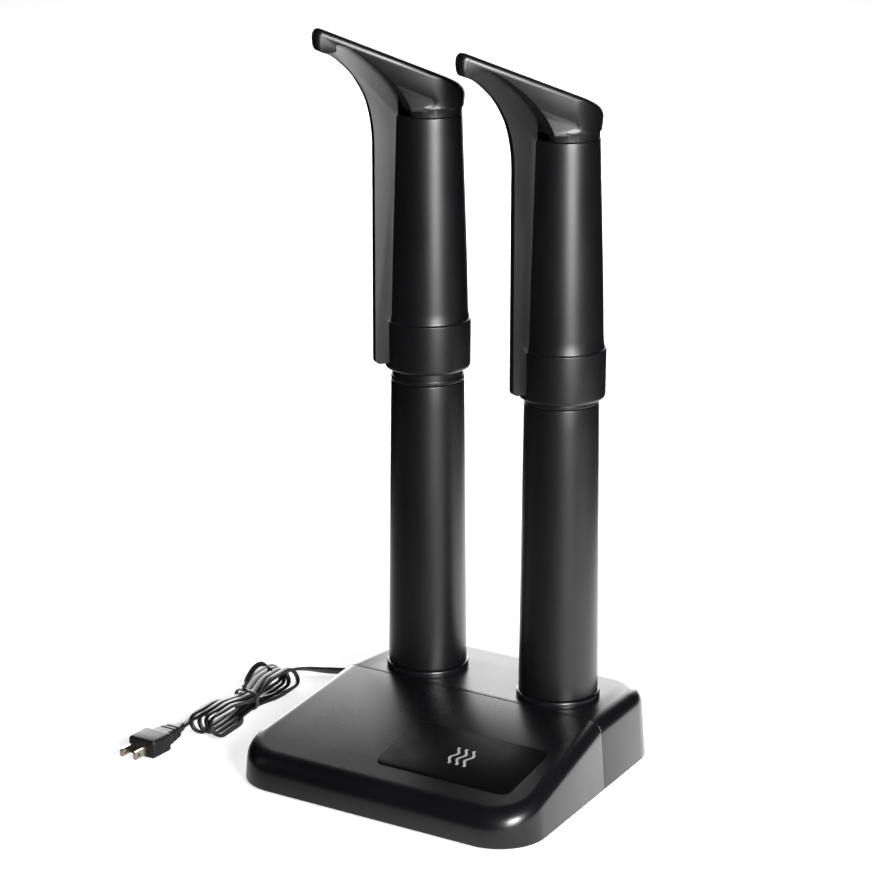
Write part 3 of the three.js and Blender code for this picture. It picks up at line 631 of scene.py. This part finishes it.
LABEL_LOW, LABEL_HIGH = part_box("label_plate")
LABEL_X = (LABEL_LOW.x + LABEL_HIGH.x) / 2 / MM
LABEL_Y = (LABEL_LOW.y + LABEL_HIGH.y) / 2 / MM
LABEL_WIDTH = (LABEL_HIGH.x - LABEL_LOW.x) / MM
LABEL_DEPTH = 62.0
LABEL_CORNER = 7.0
LABEL_THICKNESS = 0.5
RECESS_MARGIN = 0.4


def on_slope(name, outline, low, high):
    """A flat piece on the front slope, between two heights above its surface."""
    angle = math.atan(SLOPE)
    rings = []
    for lift in (low, high):
        rings.append([
            (
                LABEL_X + x,
                LABEL_Y + y * math.cos(angle) - lift * math.sin(angle),
                slope_top(Vector((0, LABEL_Y))) + y * math.sin(angle) + lift * math.cos(angle),
            )
            for x, y in outline
        ])
    obj = lofted(name, rings)
    clean(obj)
    return obj


def circle(radius, centre, sides):
    points = []
    for i in range(sides):
        angle = 2 * math.pi * i / sides
        points.append((centre[0] + radius * math.cos(angle), centre[1] + radius * math.sin(angle)))
    return points


def cylinder_cutter(radius, centre, low, high):
    return slab("cutter", circle(radius, centre, 128), low, high)


def axis_of(node):
    low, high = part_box(node)
    return (low.x + high.x) / 2 / MM, (low.y + high.y) / 2 / MM


SIDES = ("left", "right")
AXES = {side: axis_of(f"{side}_extension_tube") for side in SIDES}
COLLAR_HOLE = 27.5
RELIEF_X = -70.0
RELIEF_Z = 15.0
RELIEF_HOLE = 5.3


def relief_hole_cutter():
    hole = circle(RELIEF_HOLE, (RELIEF_X, RELIEF_Z), 32)
    rings = [[(x, y, z) for x, z in hole] for y in (HALF_LENGTH - 9, HALF_LENGTH + 5)]
    obj = lofted("cutter", rings)
    clean(obj)
    return obj


def make_base():
    front = base_shell("front_shell", slope_top, True)
    width = LABEL_WIDTH + 2 * RECESS_MARGIN
    depth = LABEL_DEPTH + 2 * RECESS_MARGIN
    outline = rounded_rectangle(width, depth, LABEL_CORNER + RECESS_MARGIN)
    boolean(front, "DIFFERENCE", on_slope("cutter", outline, -LABEL_THICKNESS, 4))
    finish_piece(front, "base", BASE_BLACK, ["front_housing"])

    rear = base_shell("rear_shell", lambda at: BASE_TOP, False)
    holes = [cylinder_cutter(COLLAR_HOLE, AXES[side], BASE_TOP - 12, BASE_TOP + 5) for side in SIDES]
    boolean(rear, "DIFFERENCE", *holes, relief_hole_cutter())
    finish_piece(rear, "base", BASE_BLACK, ["rear_housing"])


make_base()


# ---------------------------------------------------------------- label

WAVE_LENGTH = 0.013
WAVE_SWING = 0.0016
STROKE_GAP = 0.0065
STROKE_HALF_WIDTH = 0.0011
STROKE_HALF_LENGTH = 0.0105


def label_material():
    """A plain dark plate with three wavy warm-air strokes at its middle, in one flat grey."""
    n = Nodes("label_print")
    across = n.math("SUBTRACT", n.axis("X"), LABEL_X * MM)
    along = n.math("DIVIDE", n.math("SUBTRACT", n.axis("Y"), LABEL_Y * MM), math.cos(math.atan(SLOPE)))

    def inside(value, half, soft=0.00025):
        return n.mapped(n.math("ABSOLUTE", value), half - soft, half + soft, 1, 0)

    phase = n.math("MULTIPLY", along, 2 * math.pi / WAVE_LENGTH)
    bend = n.math("MULTIPLY", n.math("SINE", phase), WAVE_SWING)
    strokes = 0.0
    for place in (-STROKE_GAP, 0.0, STROKE_GAP):
        stroke = inside(n.math("SUBTRACT", n.math("SUBTRACT", across, place), bend), STROKE_HALF_WIDTH)
        stroke = n.math("MULTIPLY", stroke, inside(along, STROKE_HALF_LENGTH))
        strokes = n.math("MAXIMUM", stroke, strokes)
    colour = n.mix(strokes, (0.002, 0.002, 0.002), (0.42, 0.42, 0.42))
    n.bump(n.noise(700, 2), 0.04, 0.0003)
    n.shader.inputs["Specular IOR Level"].default_value = 0.04
    return n.set(Base_Color=colour, Roughness=n.mapped(n.noise(60, 4), 0.3, 0.7, 0.46, 0.56))


def make_label():
    outline = rounded_rectangle(LABEL_WIDTH, LABEL_DEPTH, LABEL_CORNER)
    obj = on_slope("label", outline, SEAM_GAP - LABEL_THICKNESS, SEAM_GAP)
    bevel(obj, 0.15, 2, 60)
    finish_piece(obj, "base", label_material(), ["label_plate"])


make_label()


# ---------------------------------------------------------------- collars, tubes and couplings

TUBE_BOTTOM = 59.1
TUBE_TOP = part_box("left_extension_tube")[1].z / MM
TUBE_RADIUS = 30.0
TUBE_TAPER = 0.0108
TUBE_WALL = 2.0
COLLAR_TOP = 58.8
SPIGOT_TOP = 92.0
SPIGOT_GAP = 0.35
COLLAR_RADIUS = 31.6
COLLAR_BORE = 25.0
COLLAR_BOTTOM = 46.0
COLLAR_NECK = 27.2
COLLAR_SEAT = BASE_TOP + 0.15
TUBE_ROWS = 12


def tube_radius(z):
    return TUBE_RADIUS - TUBE_TAPER * (z - TUBE_BOTTOM)


def collar(side):
    spigot = [tube_radius(z) - TUBE_WALL - SPIGOT_GAP for z in (COLLAR_TOP, SPIGOT_TOP)]
    outline = [
        (COLLAR_BORE, COLLAR_BOTTOM), (26.6, COLLAR_BOTTOM), (28.2, 49.7), (28.2, 50.7),
        (COLLAR_NECK, 50.7), (COLLAR_NECK, COLLAR_SEAT),
        (COLLAR_RADIUS, COLLAR_SEAT), (COLLAR_RADIUS, COLLAR_TOP), (spigot[0], COLLAR_TOP),
        (spigot[1], SPIGOT_TOP), (COLLAR_BORE, SPIGOT_TOP),
    ]
    eases = {1: 0.5, 2: 0.5, 6: 0.5, 7: 2.6, 9: 1.2, 10: 0.5}
    obj = turned(f"{side}_collar_ring", eased(outline, eases), AXES[side])
    finish_piece(obj, "base", BASE_BLACK, [f"{side}_collar"], angle=50)


def extension(side):
    outline = [(tube_radius(TUBE_BOTTOM) - TUBE_WALL, TUBE_BOTTOM)]
    for k in range(TUBE_ROWS + 1):
        z = TUBE_BOTTOM + (TUBE_TOP - TUBE_BOTTOM) * k / TUBE_ROWS
        outline.append((tube_radius(z), z))
    outline.append((tube_radius(TUBE_TOP) - TUBE_WALL, TUBE_TOP))
    eases = {0: 0.3, 1: 0.8, TUBE_ROWS + 1: 0.9, TUBE_ROWS + 2: 0.4}
    obj = turned(f"{side}_tube", eased(outline, eases), AXES[side])
    finish_piece(obj, f"{side}_extension", TUBE_BLACK, [f"{side}_extension_tube"], angle=50)


COUPLING_LOW, COUPLING_HIGH = (v.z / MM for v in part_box("left_coupling"))
BEAD_LOW = 284.5
BEAD_HIGH = 288.0
BEAD_RADIUS = tube_radius(TUBE_TOP)
COUPLING_BORE = 23.0
LOWER_RADIUS = 25.2
UPPER_RADIUS = 26.6
TIP_RADIUS = 26.0


def coupling(side):
    outline = [
        (COUPLING_BORE, COUPLING_LOW), (LOWER_RADIUS, COUPLING_LOW), (LOWER_RADIUS, BEAD_LOW),
        (BEAD_RADIUS, BEAD_LOW), (BEAD_RADIUS, BEAD_HIGH), (UPPER_RADIUS, BEAD_HIGH),
        (TIP_RADIUS, COUPLING_HIGH), (COUPLING_BORE, COUPLING_HIGH),
    ]
    eases = {1: 1, 3: 0.9, 4: 0.9, 6: 1, 7: 0.4}
    obj = turned(f"{side}_coupling_ring", eased(outline, eases), AXES[side])
    finish_piece(obj, f"{side}_coupling", TUBE_BLACK, [f"{side}_coupling"], angle=50)


for side in SIDES:
    collar(side)
    extension(side)
    coupling(side)


# ---------------------------------------------------------------- trees and hoods

YAW = {"left": 34.0, "right": 27.0}
TREE_BOTTOM = 288.3
TREE_RIM = 481.0
CUFF_TOP = 325.6
LIFT = {side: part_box(f"{side}_tree_tube")[0].z / MM - TREE_BOTTOM for side in SIDES}
FIN_HALF = 2.75
HOOD_RADIUS = 28.7
HOOD_BOTTOM = 486.5
HOOD_WALL = 2.0
NOSE_REACH = 83.0
NOSE_RADIUS = 7.0
NOSE_BOTTOM = 531.0
NOSE_BACK = 73.0
NOSE_TOP = 548.0
HOOD_SLOPE = 0.42
HOOD_LEAN = 0.11
LEAN_DEPTH = 24.0
NOSE_MIDDLE = 10.0
FIN_ROOT = 29.4
FIN_BOTTOM = 294.0
FIN_OUTER = 43.3
FIN_CORNER = 4.0
FIN_STRAIGHT_LOW = 302.0
FIN_STRAIGHT_HIGH = 462.0
FIN_STRAIGHT_ROWS = 11
FIN_INNER = 24.5
FIN_TOP_GAP = 0.5
# How far under the hood's top its wall has a ring, and a depth past its lower edge.
WALL_DEPTHS = (LEAN_DEPTH, 20.0, 19.8, 19.0, 18.0, 16.5, 14.5, 12.5, 10.5)
BELOW_THE_WALL = 200.0
EDGE_STEPS = 8
SKIRT_BORE = 22.0
SKIRT_RADIUS = 25.7
SKIRT_BOTTOM = 474.0


def set_on_tube(obj, side):
    """Moves a piece made about the Z axis, with its fin towards +X, to its place and yaw."""
    angle = math.radians(270 - YAW[side])
    x, y = AXES[side]
    mesh = obj.data
    cosine, sine = math.cos(angle), math.sin(angle)
    for vertex in mesh.vertices:
        px, py, pz = vertex.co
        vertex.co = (
            x * MM + px * cosine - py * sine,
            y * MM + px * sine + py * cosine,
            pz + LIFT[side] * MM,
        )
    mesh.update()


def fin_top(r):
    """The height of the fin's top edge, just under the hood's roof, at a reach from the tube's axis."""
    return NOSE_TOP - (NOSE_REACH - r) * HOOD_SLOPE - HOOD_WALL - FIN_TOP_GAP


def fin_plate():
    """The radial plate, with its front edge swept forward under the nose."""
    outline = [(FIN_ROOT, FIN_BOTTOM)]
    for k in range(EDGE_STEPS + 1):
        angle = -math.pi / 2 + math.pi / 2 * k / EDGE_STEPS
        r = FIN_OUTER - FIN_CORNER + FIN_CORNER * math.cos(angle)
        outline.append((r, FIN_BOTTOM + FIN_CORNER + FIN_CORNER * math.sin(angle)))
    for k in range(1, FIN_STRAIGHT_ROWS + 1):
        rise = (FIN_STRAIGHT_HIGH - FIN_STRAIGHT_LOW) * k / FIN_STRAIGHT_ROWS
        outline.append((FIN_OUTER, FIN_STRAIGHT_LOW + rise))
    sweep = catmull([
        (FIN_OUTER, FIN_STRAIGHT_HIGH, 0), (44.2, 474, 0), (46.6, 487, 0), (50.6, 498.5, 0), (58.6, 512, 0),
        (67.5, 521.4, 0), (76.0, 528.0, 0), (82.4, 530.6, 0),
    ], 8)
    outline += [(p.x, p.y) for p in sweep[1:]]
    reach = NOSE_BACK - 0.5
    outline += [(reach, 530.7), (reach, fin_top(reach)), (FIN_INNER, fin_top(FIN_INNER))]
    outline += [(FIN_INNER, 481.2), (25.1, 480.5), (25.5, 467), (28.5, 370), (FIN_ROOT, 328)]
    rings = [[(r, s, z) for r, z in outline] for s in (-FIN_HALF, FIN_HALF)]
    obj = lofted("fin", rings)
    clean(obj)
    bevel(obj, 1.5, 5, 55)
    clean(obj)
    return obj


def tree(side):
    outline = [
        (26.95, TREE_BOTTOM), (32.2, TREE_BOTTOM), (32.5, CUFF_TOP), (31.1, CUFF_TOP + 0.7), (30.3, 333),
        (29.5, 370), (28.0, 418), (26.5, 467), (26.1, TREE_RIM), (24.1, TREE_RIM), (24.5, 467), (27.5, 370),
        (28.2, 346), (26.35, 336),
    ]
    eases = {0: 1.0, 1: 3.4, 2: 0.6, 3: 0.8, 4: 3, 5: 12, 7: 6, 8: 1.1, 9: 0.4}
    obj = turned(f"{side}_tree", eased(outline, eases, 8))
    boolean(obj, "UNION", fin_plate())
    set_on_tube(obj, side)
    finish_piece(obj, f"{side}_tree", TUBE_BLACK, [f"{side}_tree_tube"], angle=38)


def hood_outline():
    taper = math.degrees(math.asin((HOOD_RADIUS - NOSE_RADIUS) / NOSE_REACH))
    flank = 90 - taper
    body = plan_outline([(0, 0, HOOD_RADIUS, flank, 360 - flank)], 56)
    return body + plan_outline([(NOSE_REACH, 0, NOSE_RADIUS, 360 - flank, 360 + flank)], 28)


def hood_top(at):
    return NOSE_TOP - (NOSE_REACH - at.x) * HOOD_SLOPE


def hood_edge(normal):
    """The top edge's width and depth: soft behind, crisp on the flanks and full on the nose."""
    nose = max(0.0, normal.x)
    width = 3.6 + 5.0 * max(0.0, -normal.x) + 2.6 * nose
    return width, width + 2.8 * nose


def hood_tuck(normal, depth):
    """How far the wall has drawn in at a depth under the top: a slight lean, and the nose's round chin."""
    nose = smoothstep(1.25 * normal.x)
    turn = max(0.0, min(1.0, (depth - NOSE_MIDDLE) / NOSE_MIDDLE))
    chin = 5.2 * nose * (1 - math.sqrt(1 - turn * turn))
    return chin + HOOD_LEAN * min(depth, LEAN_DEPTH) * (1 - nose)


def hood_body(name, inset, bottom):
    outline = hood_outline()

    def place(point, normal, depth, extra):
        at = point.copy()
        for _ in range(4):
            top = hood_top(at) - inset
            z = max(bottom, top - depth)
            at = point - normal * (inset + extra + hood_tuck(normal, top - z))
        return at.x, at.y, z

    rings = [[place(p, n, depth, 0) for p, n in outline] for depth in (BELOW_THE_WALL, *WALL_DEPTHS)]
    for k in range(EDGE_STEPS + 1):
        angle = math.pi / 2 * k / EDGE_STEPS
        ring = []
        for p, n in outline:
            width, deep = hood_edge(n)
            width = max(0.6, width - inset)
            deep = max(0.6, deep - inset)
            ring.append(place(p, n, deep * (1 - math.sin(angle)), width * (1 - math.cos(angle))))
        rings.append(ring)
    rings.append([place(p, n, 0, max(0.6, hood_edge(n)[0] - inset) + 0.3) for p, n in outline])
    obj = lofted(name, rings)
    clean(obj)
    return obj


def mouth_cutter():
    """What is open under the hood's side walls, as a prism across the fin, with the nose's rounded chin."""
    rim = TREE_RIM + 0.15
    edge = catmull([
        (NOSE_BACK + 1.5, 537.0, 0), (68.5, 535.4, 0), (62, 532.4, 0), (48.6, 522.5, 0),
        (36, 510.6, 0), (26, 497.5, 0), (19, rim, 0),
    ], 8)
    outline = [(120, rim), (120, 545), (NOSE_REACH + 7.2, 541)]
    for k in range(1, 11):
        angle = -math.pi / 2 * k / 10
        outline.append((NOSE_REACH - 1.2 + 8.2 * math.cos(angle), NOSE_BOTTOM + 9 + 9 * math.sin(angle)))
    outline += [(NOSE_BACK + 4.0, NOSE_BOTTOM), (NOSE_BACK + 2.4, NOSE_BOTTOM + 1.5)]
    outline += [(p.x, p.y) for p in edge]
    rings = [[(r, s, z) for r, z in outline] for s in (-40, 40)]
    obj = lofted("cutter", rings)
    clean(obj)
    return obj


def hood(side):
    obj = hood_body(f"{side}_hood_cap", 0.0, HOOD_BOTTOM)
    cavity = hood_body("cutter", HOOD_WALL, HOOD_BOTTOM - 8)
    stop = slab("cutter", [(-50, -50), (NOSE_BACK, -50), (NOSE_BACK, 50), (-50, 50)], 470, 600)
    boolean(cavity, "INTERSECT", stop)
    boolean(obj, "DIFFERENCE", cavity)
    rim = TREE_RIM + 0.3
    skirt = [
        (SKIRT_BORE, SKIRT_BOTTOM), (23.6, SKIRT_BOTTOM), (23.6, rim), (SKIRT_RADIUS, rim),
        (SKIRT_RADIUS, HOOD_BOTTOM + 1), (26.4, HOOD_BOTTOM + 1), (26.4, HOOD_BOTTOM + 2.5),
        (24.2, HOOD_BOTTOM + 2.5), (SKIRT_BORE, rim + 1),
    ]
    boolean(obj, "UNION", turned("skirt", eased(skirt, {0: 0.4, 1: 0.6, 3: 0.4}), sides=96))
    boolean(obj, "DIFFERENCE", mouth_cutter())
    clean(obj)
    bevel(obj, 0.45, 2, 42)
    set_on_tube(obj, side)
    finish_piece(obj, f"{side}_tree", TUBE_BLACK, [f"{side}_hood"], angle=38)


for side in SIDES:
    tree(side)
    hood(side)


# ---------------------------------------------------------------- feet, strain relief and small CAD pieces

# A foot's outline, radius and height: a grooved pad with a stud that pushes into the bottom plate.
FOOT_OUTLINE = [
    (0.0, 0.0), (5.5, 0.0), (6.2, 0.5), (6.8, 0.0), (8.6, 0.0), (9, 0.9), (9, 1.5),
    (2.9, 1.5), (2.9, 4.3), (1.9, 5.7), (0, 5.7),
]
FOOT_EASES = {4: 0.4, 6: 0.3, 8: 0.3, 9: 0.5}


def make_feet():
    outline = eased(FOOT_OUTLINE, FOOT_EASES, 3)
    for end in ("front_left", "front_right", "rear_left", "rear_right"):
        node = f"foot_{end}"
        obj = turned(f"{end}_foot_pad", outline, axis_of(node), 64)
        finish_piece(obj, "base", RUBBER, [node])


def along_y(obj, x, z):
    """Turns a piece made about the Z axis to lie along +Y through (x, z)."""
    for vertex in obj.data.vertices:
        px, py, pz = vertex.co
        vertex.co = (x * MM + px, pz, z * MM - py)
    obj.data.update()


def make_strain_relief():
    low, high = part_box("strain_relief")
    inner = low.y / MM
    tip = high.y / MM
    flange = 118.55
    outline = [
        (0, inner), (6.5, inner), (6.5, inner + 2.5), (5.0, inner + 2.5), (5.0, flange),
        (7.2, flange), (7.2, flange + 3),
    ]
    ribs = 5
    start = flange + 3
    pitch = (tip - start - 1) / ribs
    for i in range(ribs):
        radius = 5.5 + (3.9 - 5.5) * i / (ribs - 1)
        at = start + i * pitch
        outline += [(radius - 1, at + 0.5), (radius - 1, at + 1.6)]
        outline += [(radius, at + 2.1), (radius - 0.15, at + pitch - 0.1)]
    outline += [(3.7, tip), (0, tip)]
    eases = {k: 0.35 for k in range(1, len(outline) - 1)}
    obj = turned("cord_strain_relief", eased(outline, eases, 3), sides=64)
    along_y(obj, RELIEF_X, RELIEF_Z)
    clean(obj)
    finish_piece(obj, "base", RELIEF_RUBBER, ["strain_relief"], angle=50)


def finish_cad_nodes():
    """The CAD nodes that stay get their real finishes."""
    finishes = {
        "bottom_plate": UNDER_BLACK,
        "thermal_cutoff": ZINC,
        "crimp_live": BRASS,
        "crimp_neutral": BRASS,
        "plug_blade_1": BLADE_METAL,
        "plug_blade_2": BLADE_METAL,
    }
    for i in range(1, 5):
        finishes[f"housing_screw_{i}"] = ZINC
    for side in SIDES:
        finishes[f"{side}_heater_bracket"] = ZINC
        finishes[f"{side}_heater_core"] = CERAMIC
        finishes[f"{side}_heater_coil"] = HEATING_WIRE
        finishes[f"{side}_bracket_rivet_1"] = ZINC
        finishes[f"{side}_bracket_rivet_2"] = ZINC
    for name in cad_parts:
        if name.startswith(("lead_", "cord_core")):
            finishes[name] = SLEEVE
    for name, material in finishes.items():
        node = bpy.data.objects[name]
        for slot in node.material_slots:
            slot.material = material


make_feet()
make_strain_relief()
finish_cad_nodes()


# ---------------------------------------------------------------- supply cord

CORD_WIDTH = 5.6
CORD_THICKNESS = 2.9
ON_EDGE = CORD_WIDTH / 2 + 0.1
RELIEF_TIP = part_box("strain_relief")[1].y / MM

LEAD_ROUTE = [
    (RELIEF_X, RELIEF_TIP + 0.3, RELIEF_Z),
    (-70.5, 152, 13.6),
    (-73, 162, 10),
    (-81, 172, 6),
    (-94, 176.5, 3.6),
    (-109, 173, ON_EDGE),
    (-126, 160, ON_EDGE),
    (-144, 143, ON_EDGE),
    (-162, 126, ON_EDGE),
    (-178, 114, ON_EDGE),
    (-194, 106, ON_EDGE),
    (-206, 100, ON_EDGE + 0.6),
    (-214.5, 91, ON_EDGE + 1.2),
    (-218.5, 78, ON_EDGE + 0.9),
]
PLUG_ROUTE = [(-213.2, -46, 7.9), (-212.2, -54, 7.5), (-211, -61.5, 7.4)]

WAIST_Y = 8.0
REAR_FOLD_Y = 62.0
FRONT_FOLD_Y = -51.0
# Each run of the hank, across and up at its rear end, at the tied waist and at its front end.
RUNS = [
    ((-10.7, 5.0), (-5.9, 3.6), (13.0, 2.5)),
    ((2.6, 15.3), (5.6, 9.8), (5.0, 15.4)),
    ((11.2, 2.5), (6.0, 3.6), (7.2, 2.5)),
    ((-3.1, 15.4), (3.0, 12.8), (-0.8, 15.4)),
    ((5.4, 2.5), (3.0, 6.7), (1.4, 2.5)),
    ((-8.9, 15.3), (-2.9, 12.8), (-6.6, 15.3)),
    ((-0.3, 2.5), (0.1, 3.6), (-4.3, 2.5)),
    ((-14.5, 14.9), (-0.2, 9.8), (-12.4, 15.0)),
    ((-6.0, 2.5), (-3.0, 6.7), (-15.5, 7.6)),
]
FOLD_SHIFT = 3.0
RUN_STEPS = 26
FOLD_STEPS = 12
HANK_X = -200.8
REAR_SKEW = 0.07
FRONT_SKEW = 0.11
REAR_SPREAD = 36.0
FRONT_SPREAD = 34.0
PLUG_LEAD_FROM = -34.0
ROUTE_SPACING = 2.0
SMOOTHING_PASSES = 2
TURN_FLAT_BEFORE = 22
LEVEL_PULL = 0.12


def hank_middle(y):
    return HANK_X - (REAR_SKEW if y > WAIST_Y else FRONT_SKEW) * (y - WAIST_Y)


def run_point(run, y):
    rear, waist, front = run
    end, reach = (rear, REAR_SPREAD) if y > WAIST_Y else (front, FRONT_SPREAD)
    spread = smoothstep(abs(y - WAIST_Y) / reach)
    x = hank_middle(y) + waist[0] + (end[0] - waist[0]) * spread
    return Vector((x, y, waist[1] + (end[1] - waist[1]) * spread))


def hank_path():
    """Runs to and fro along the hank, joined at each end by round folds."""
    points = []
    for i, run in enumerate(RUNS):
        forward = i % 2 == 0
        rear = REAR_FOLD_Y + FOLD_SHIFT * math.sin(2.1 * (i + 1) // 2)
        front = FRONT_FOLD_Y + FOLD_SHIFT * math.sin(1.3 * (i // 2))
        start, end = (rear, front) if forward else (front, rear)
        if points:
            start = points[-1].y
        points += [run_point(run, start + (end - start) * k / RUN_STEPS) for k in range(RUN_STEPS + 1)]
        if i + 1 == len(RUNS):
            break
        here = points[-1]
        there = run_point(RUNS[i + 1], end)
        middle = (here + there) / 2
        out = Vector((0, -1 if forward else 1, 0)) * (here - there).length / 2
        for k in range(1, FOLD_STEPS):
            turn = math.pi * k / FOLD_STEPS
            points.append(middle + (here - middle) * math.cos(turn) + out * math.sin(turn))
    return points


def twin_section():
    """Two round cores side by side in one jacket."""
    half = CORD_THICKNESS / 2
    offset = (CORD_WIDTH - CORD_THICKNESS) / 2
    section = []
    for lobe, first in ((1, -65), (-1, 115)):
        for k in range(9):
            angle = math.radians(first + 130 * k / 8)
            section.append((lobe * offset + half * math.cos(angle), half * math.sin(angle)))
    return section


def resampled(points, spacing):
    """Points at an even spacing along a polyline."""
    result, left = [points[0]], spacing
    for a, b in zip(points, points[1:]):
        length = (b - a).length
        at = left
        while at <= length:
            result.append(a.lerp(b, at / length))
            at += spacing
        left = at - length
    if (points[-1] - result[-1]).length > spacing * 0.3:
        result.append(points[-1])
    return result


def carried_frames(route, flat_from):
    """The direction of the cord's width at each point: upright on the lead, then level in the hank."""
    widths = [Vector((0, 0, 1))]
    for i in range(1, len(route)):
        tangent = (route[min(i + 1, len(route) - 1)] - route[i - 1]).normalized()
        width = widths[-1] - tangent * tangent.dot(widths[-1])
        level = tangent.cross(Vector((0, 0, 1)))
        if i > flat_from:
            pull = LEVEL_PULL * level.length ** 2
            width = width + level * pull * (1 if level.dot(width) >= 0 else -1)
        else:
            width = Vector((0, 0, 1)) - tangent * tangent.z
        widths.append(width.normalized())
    return widths


def make_cord():
    lead = catmull(LEAD_ROUTE, 8)
    hank = hank_path()
    leaves = next(i for i in range(len(hank) - 1, 0, -1) if hank[i].y > PLUG_LEAD_FROM)
    plug_lead = catmull([hank[leaves - 1], hank[leaves], *(Vector(p) for p in PLUG_ROUTE)], 8)
    route = resampled([*lead, *hank[2:leaves - 1], *plug_lead], ROUTE_SPACING)
    for _ in range(SMOOTHING_PASSES):
        middle = [(a + 2 * b + c) / 4 for a, b, c in zip(route, route[1:], route[2:])]
        route = [route[0], *middle, route[-1]]
    lead_length = sum((b - a).length for a, b in zip(lead, lead[1:]))
    flat_from = int(lead_length / ROUTE_SPACING) - TURN_FLAT_BEFORE
    obj = swept("supply_cord", route, twin_section(), carried_frames(route, flat_from))
    finish_piece(obj, "base", CORD_BLACK, ["cord_lead", "cord_hank", "plug_lead"], angle=50)
    return obj, route


TIE_X = -200.75
TIE_Z = 8.65
TIE_HALF_WIDTH = 10.3
TIE_HALF_HEIGHT = 7.75
TIE_SQUARENESS = 0.62
TIE_START = 1.9
TIE_STEPS = 48
TIE_SLANT = 0.7
RIBBON = [
    (2.1, -0.45), (2.1, 0.45), (0.6, 0.8), (-0.6, 0.8),
    (-2.1, 0.45), (-2.1, -0.45), (-0.6, -0.8), (0.6, -0.8),
]
TWIST_STEP = 0.35
TWISTED_POINTS = 16


def squared(value):
    """A sine or cosine drawn out toward 1, which makes a circle a rounded rectangle."""
    return math.copysign(abs(value) ** TIE_SQUARENESS, value)


def make_tie():
    """A coated wire tie: a band round the waist, its ends twisted together and arched back."""
    band = []
    for k in range(TIE_STEPS + 1):
        angle = 2 * math.pi * k / TIE_STEPS + TIE_START
        across = squared(math.cos(angle)) * TIE_HALF_WIDTH
        up = squared(math.sin(angle)) * TIE_HALF_HEIGHT
        band.append(Vector((TIE_X + across, WAIST_Y + TIE_SLANT * math.sin(angle * 0.5), TIE_Z + up)))
    wrap = swept("tie_band", band, RIBBON, [(0, 1, 0)] * len(band))
    tail = catmull([
        (-203.4, 8, 16.6), (-203.6, 9.5, 18.6), (-205, 14, 20.6), (-207.6, 22, 23.2),
        (-209.6, 31, 25.6), (-209.6, 39, 26.4), (-208, 44, 25), (-206.2, 46.6, 21.6), (-205.6, 47, 19),
    ], 8)
    turns = []
    for i in range(len(tail)):
        angle = TWIST_STEP * min(i, TWISTED_POINTS)
        lean = 0.0 if i < TWISTED_POINTS else 0.2
        turns.append(Vector((math.cos(angle), lean, math.sin(angle))))
    end = swept("tie_tail", tail, RIBBON, turns)
    bpy.ops.object.select_all(action="DESELECT")
    for part in (end, wrap):
        part.select_set(True)
    bpy.context.view_layer.objects.active = wrap
    bpy.ops.object.join()
    wrap.name = "cord_twist_tie"
    finish_piece(wrap, "base", TIE_BLACK, ["cord_tie"], angle=60)
    return wrap


PLUG_X = -211.0
PLUG_Z = 7.4
BLADE_OFFSET = 6.35
POCKET_HALF_WIDTH = 1.05
POCKET_HALF_HEIGHT = 3.5
POCKET_Y = (-114.5, -109.2)


def blade_pocket(offset):
    """The recess that a blade stands in, at an offset across the plug."""
    left = PLUG_X + offset - POCKET_HALF_WIDTH
    right = PLUG_X + offset + POCKET_HALF_WIDTH
    front, back = POCKET_Y
    outline = [(left, front), (right, front), (right, back), (left, back)]
    pocket = slab("cutter", outline, PLUG_Z - POCKET_HALF_HEIGHT, PLUG_Z + POCKET_HALF_HEIGHT)
    clean(pocket)
    return pocket


def make_plug():
    """The moulded plug: a ribbed grip that widens into a squared body."""
    # Each section: place along Y, half width and half height.
    sections = [
        (-61.8, 2.3, 3.3), (-63.5, 2.7, 3.7), (-69.5, 3.8, 4.2), (-70.6, 5.6, 4.6), (-71.4, 6.2, 4.8),
        (-75.0, 6.8, 5.0), (-75.6, 6.0, 4.3), (-77.0, 6.1, 4.4), (-77.6, 7.3, 5.2),
        (-80.2, 7.7, 5.4), (-80.8, 6.9, 4.7), (-82.2, 7.0, 4.8), (-82.8, 8.1, 5.6),
        (-86.0, 8.6, 5.9), (-87.0, 8.7, 6.0), (-90.4, 8.9, 6.0), (-91.2, 9.4, 6.2), (-91.9, 11.6, 6.8),
        (-92.8, 12.3, 7.15), (-94, 12.4, 7.2), (-103, 12.4, 7.2), (-111.6, 12.4, 7.2),
        (-112.8, 12.1, 6.9), (-113.5, 11.3, 6.1),
    ]
    rings = []
    for y, half_x, half_z in sections:
        corner = min(2.6, half_x, half_z) * 0.95
        corners = corner_circles(half_x - corner, half_z - corner, corner)
        rings.append([(PLUG_X + p.x, y, PLUG_Z + p.y) for p, _ in plan_outline(corners, 7)])
    obj = lofted("plug_moulding", rings)
    clean(obj)
    for offset in (-BLADE_OFFSET, BLADE_OFFSET):
        boolean(obj, "DIFFERENCE", blade_pocket(offset))
    finish_piece(obj, "base", PLUG_BLACK, ["plug_body"], angle=42)
    return obj


cord_piece, cord_route = make_cord()
tie_piece = make_tie()
plug_piece = make_plug()
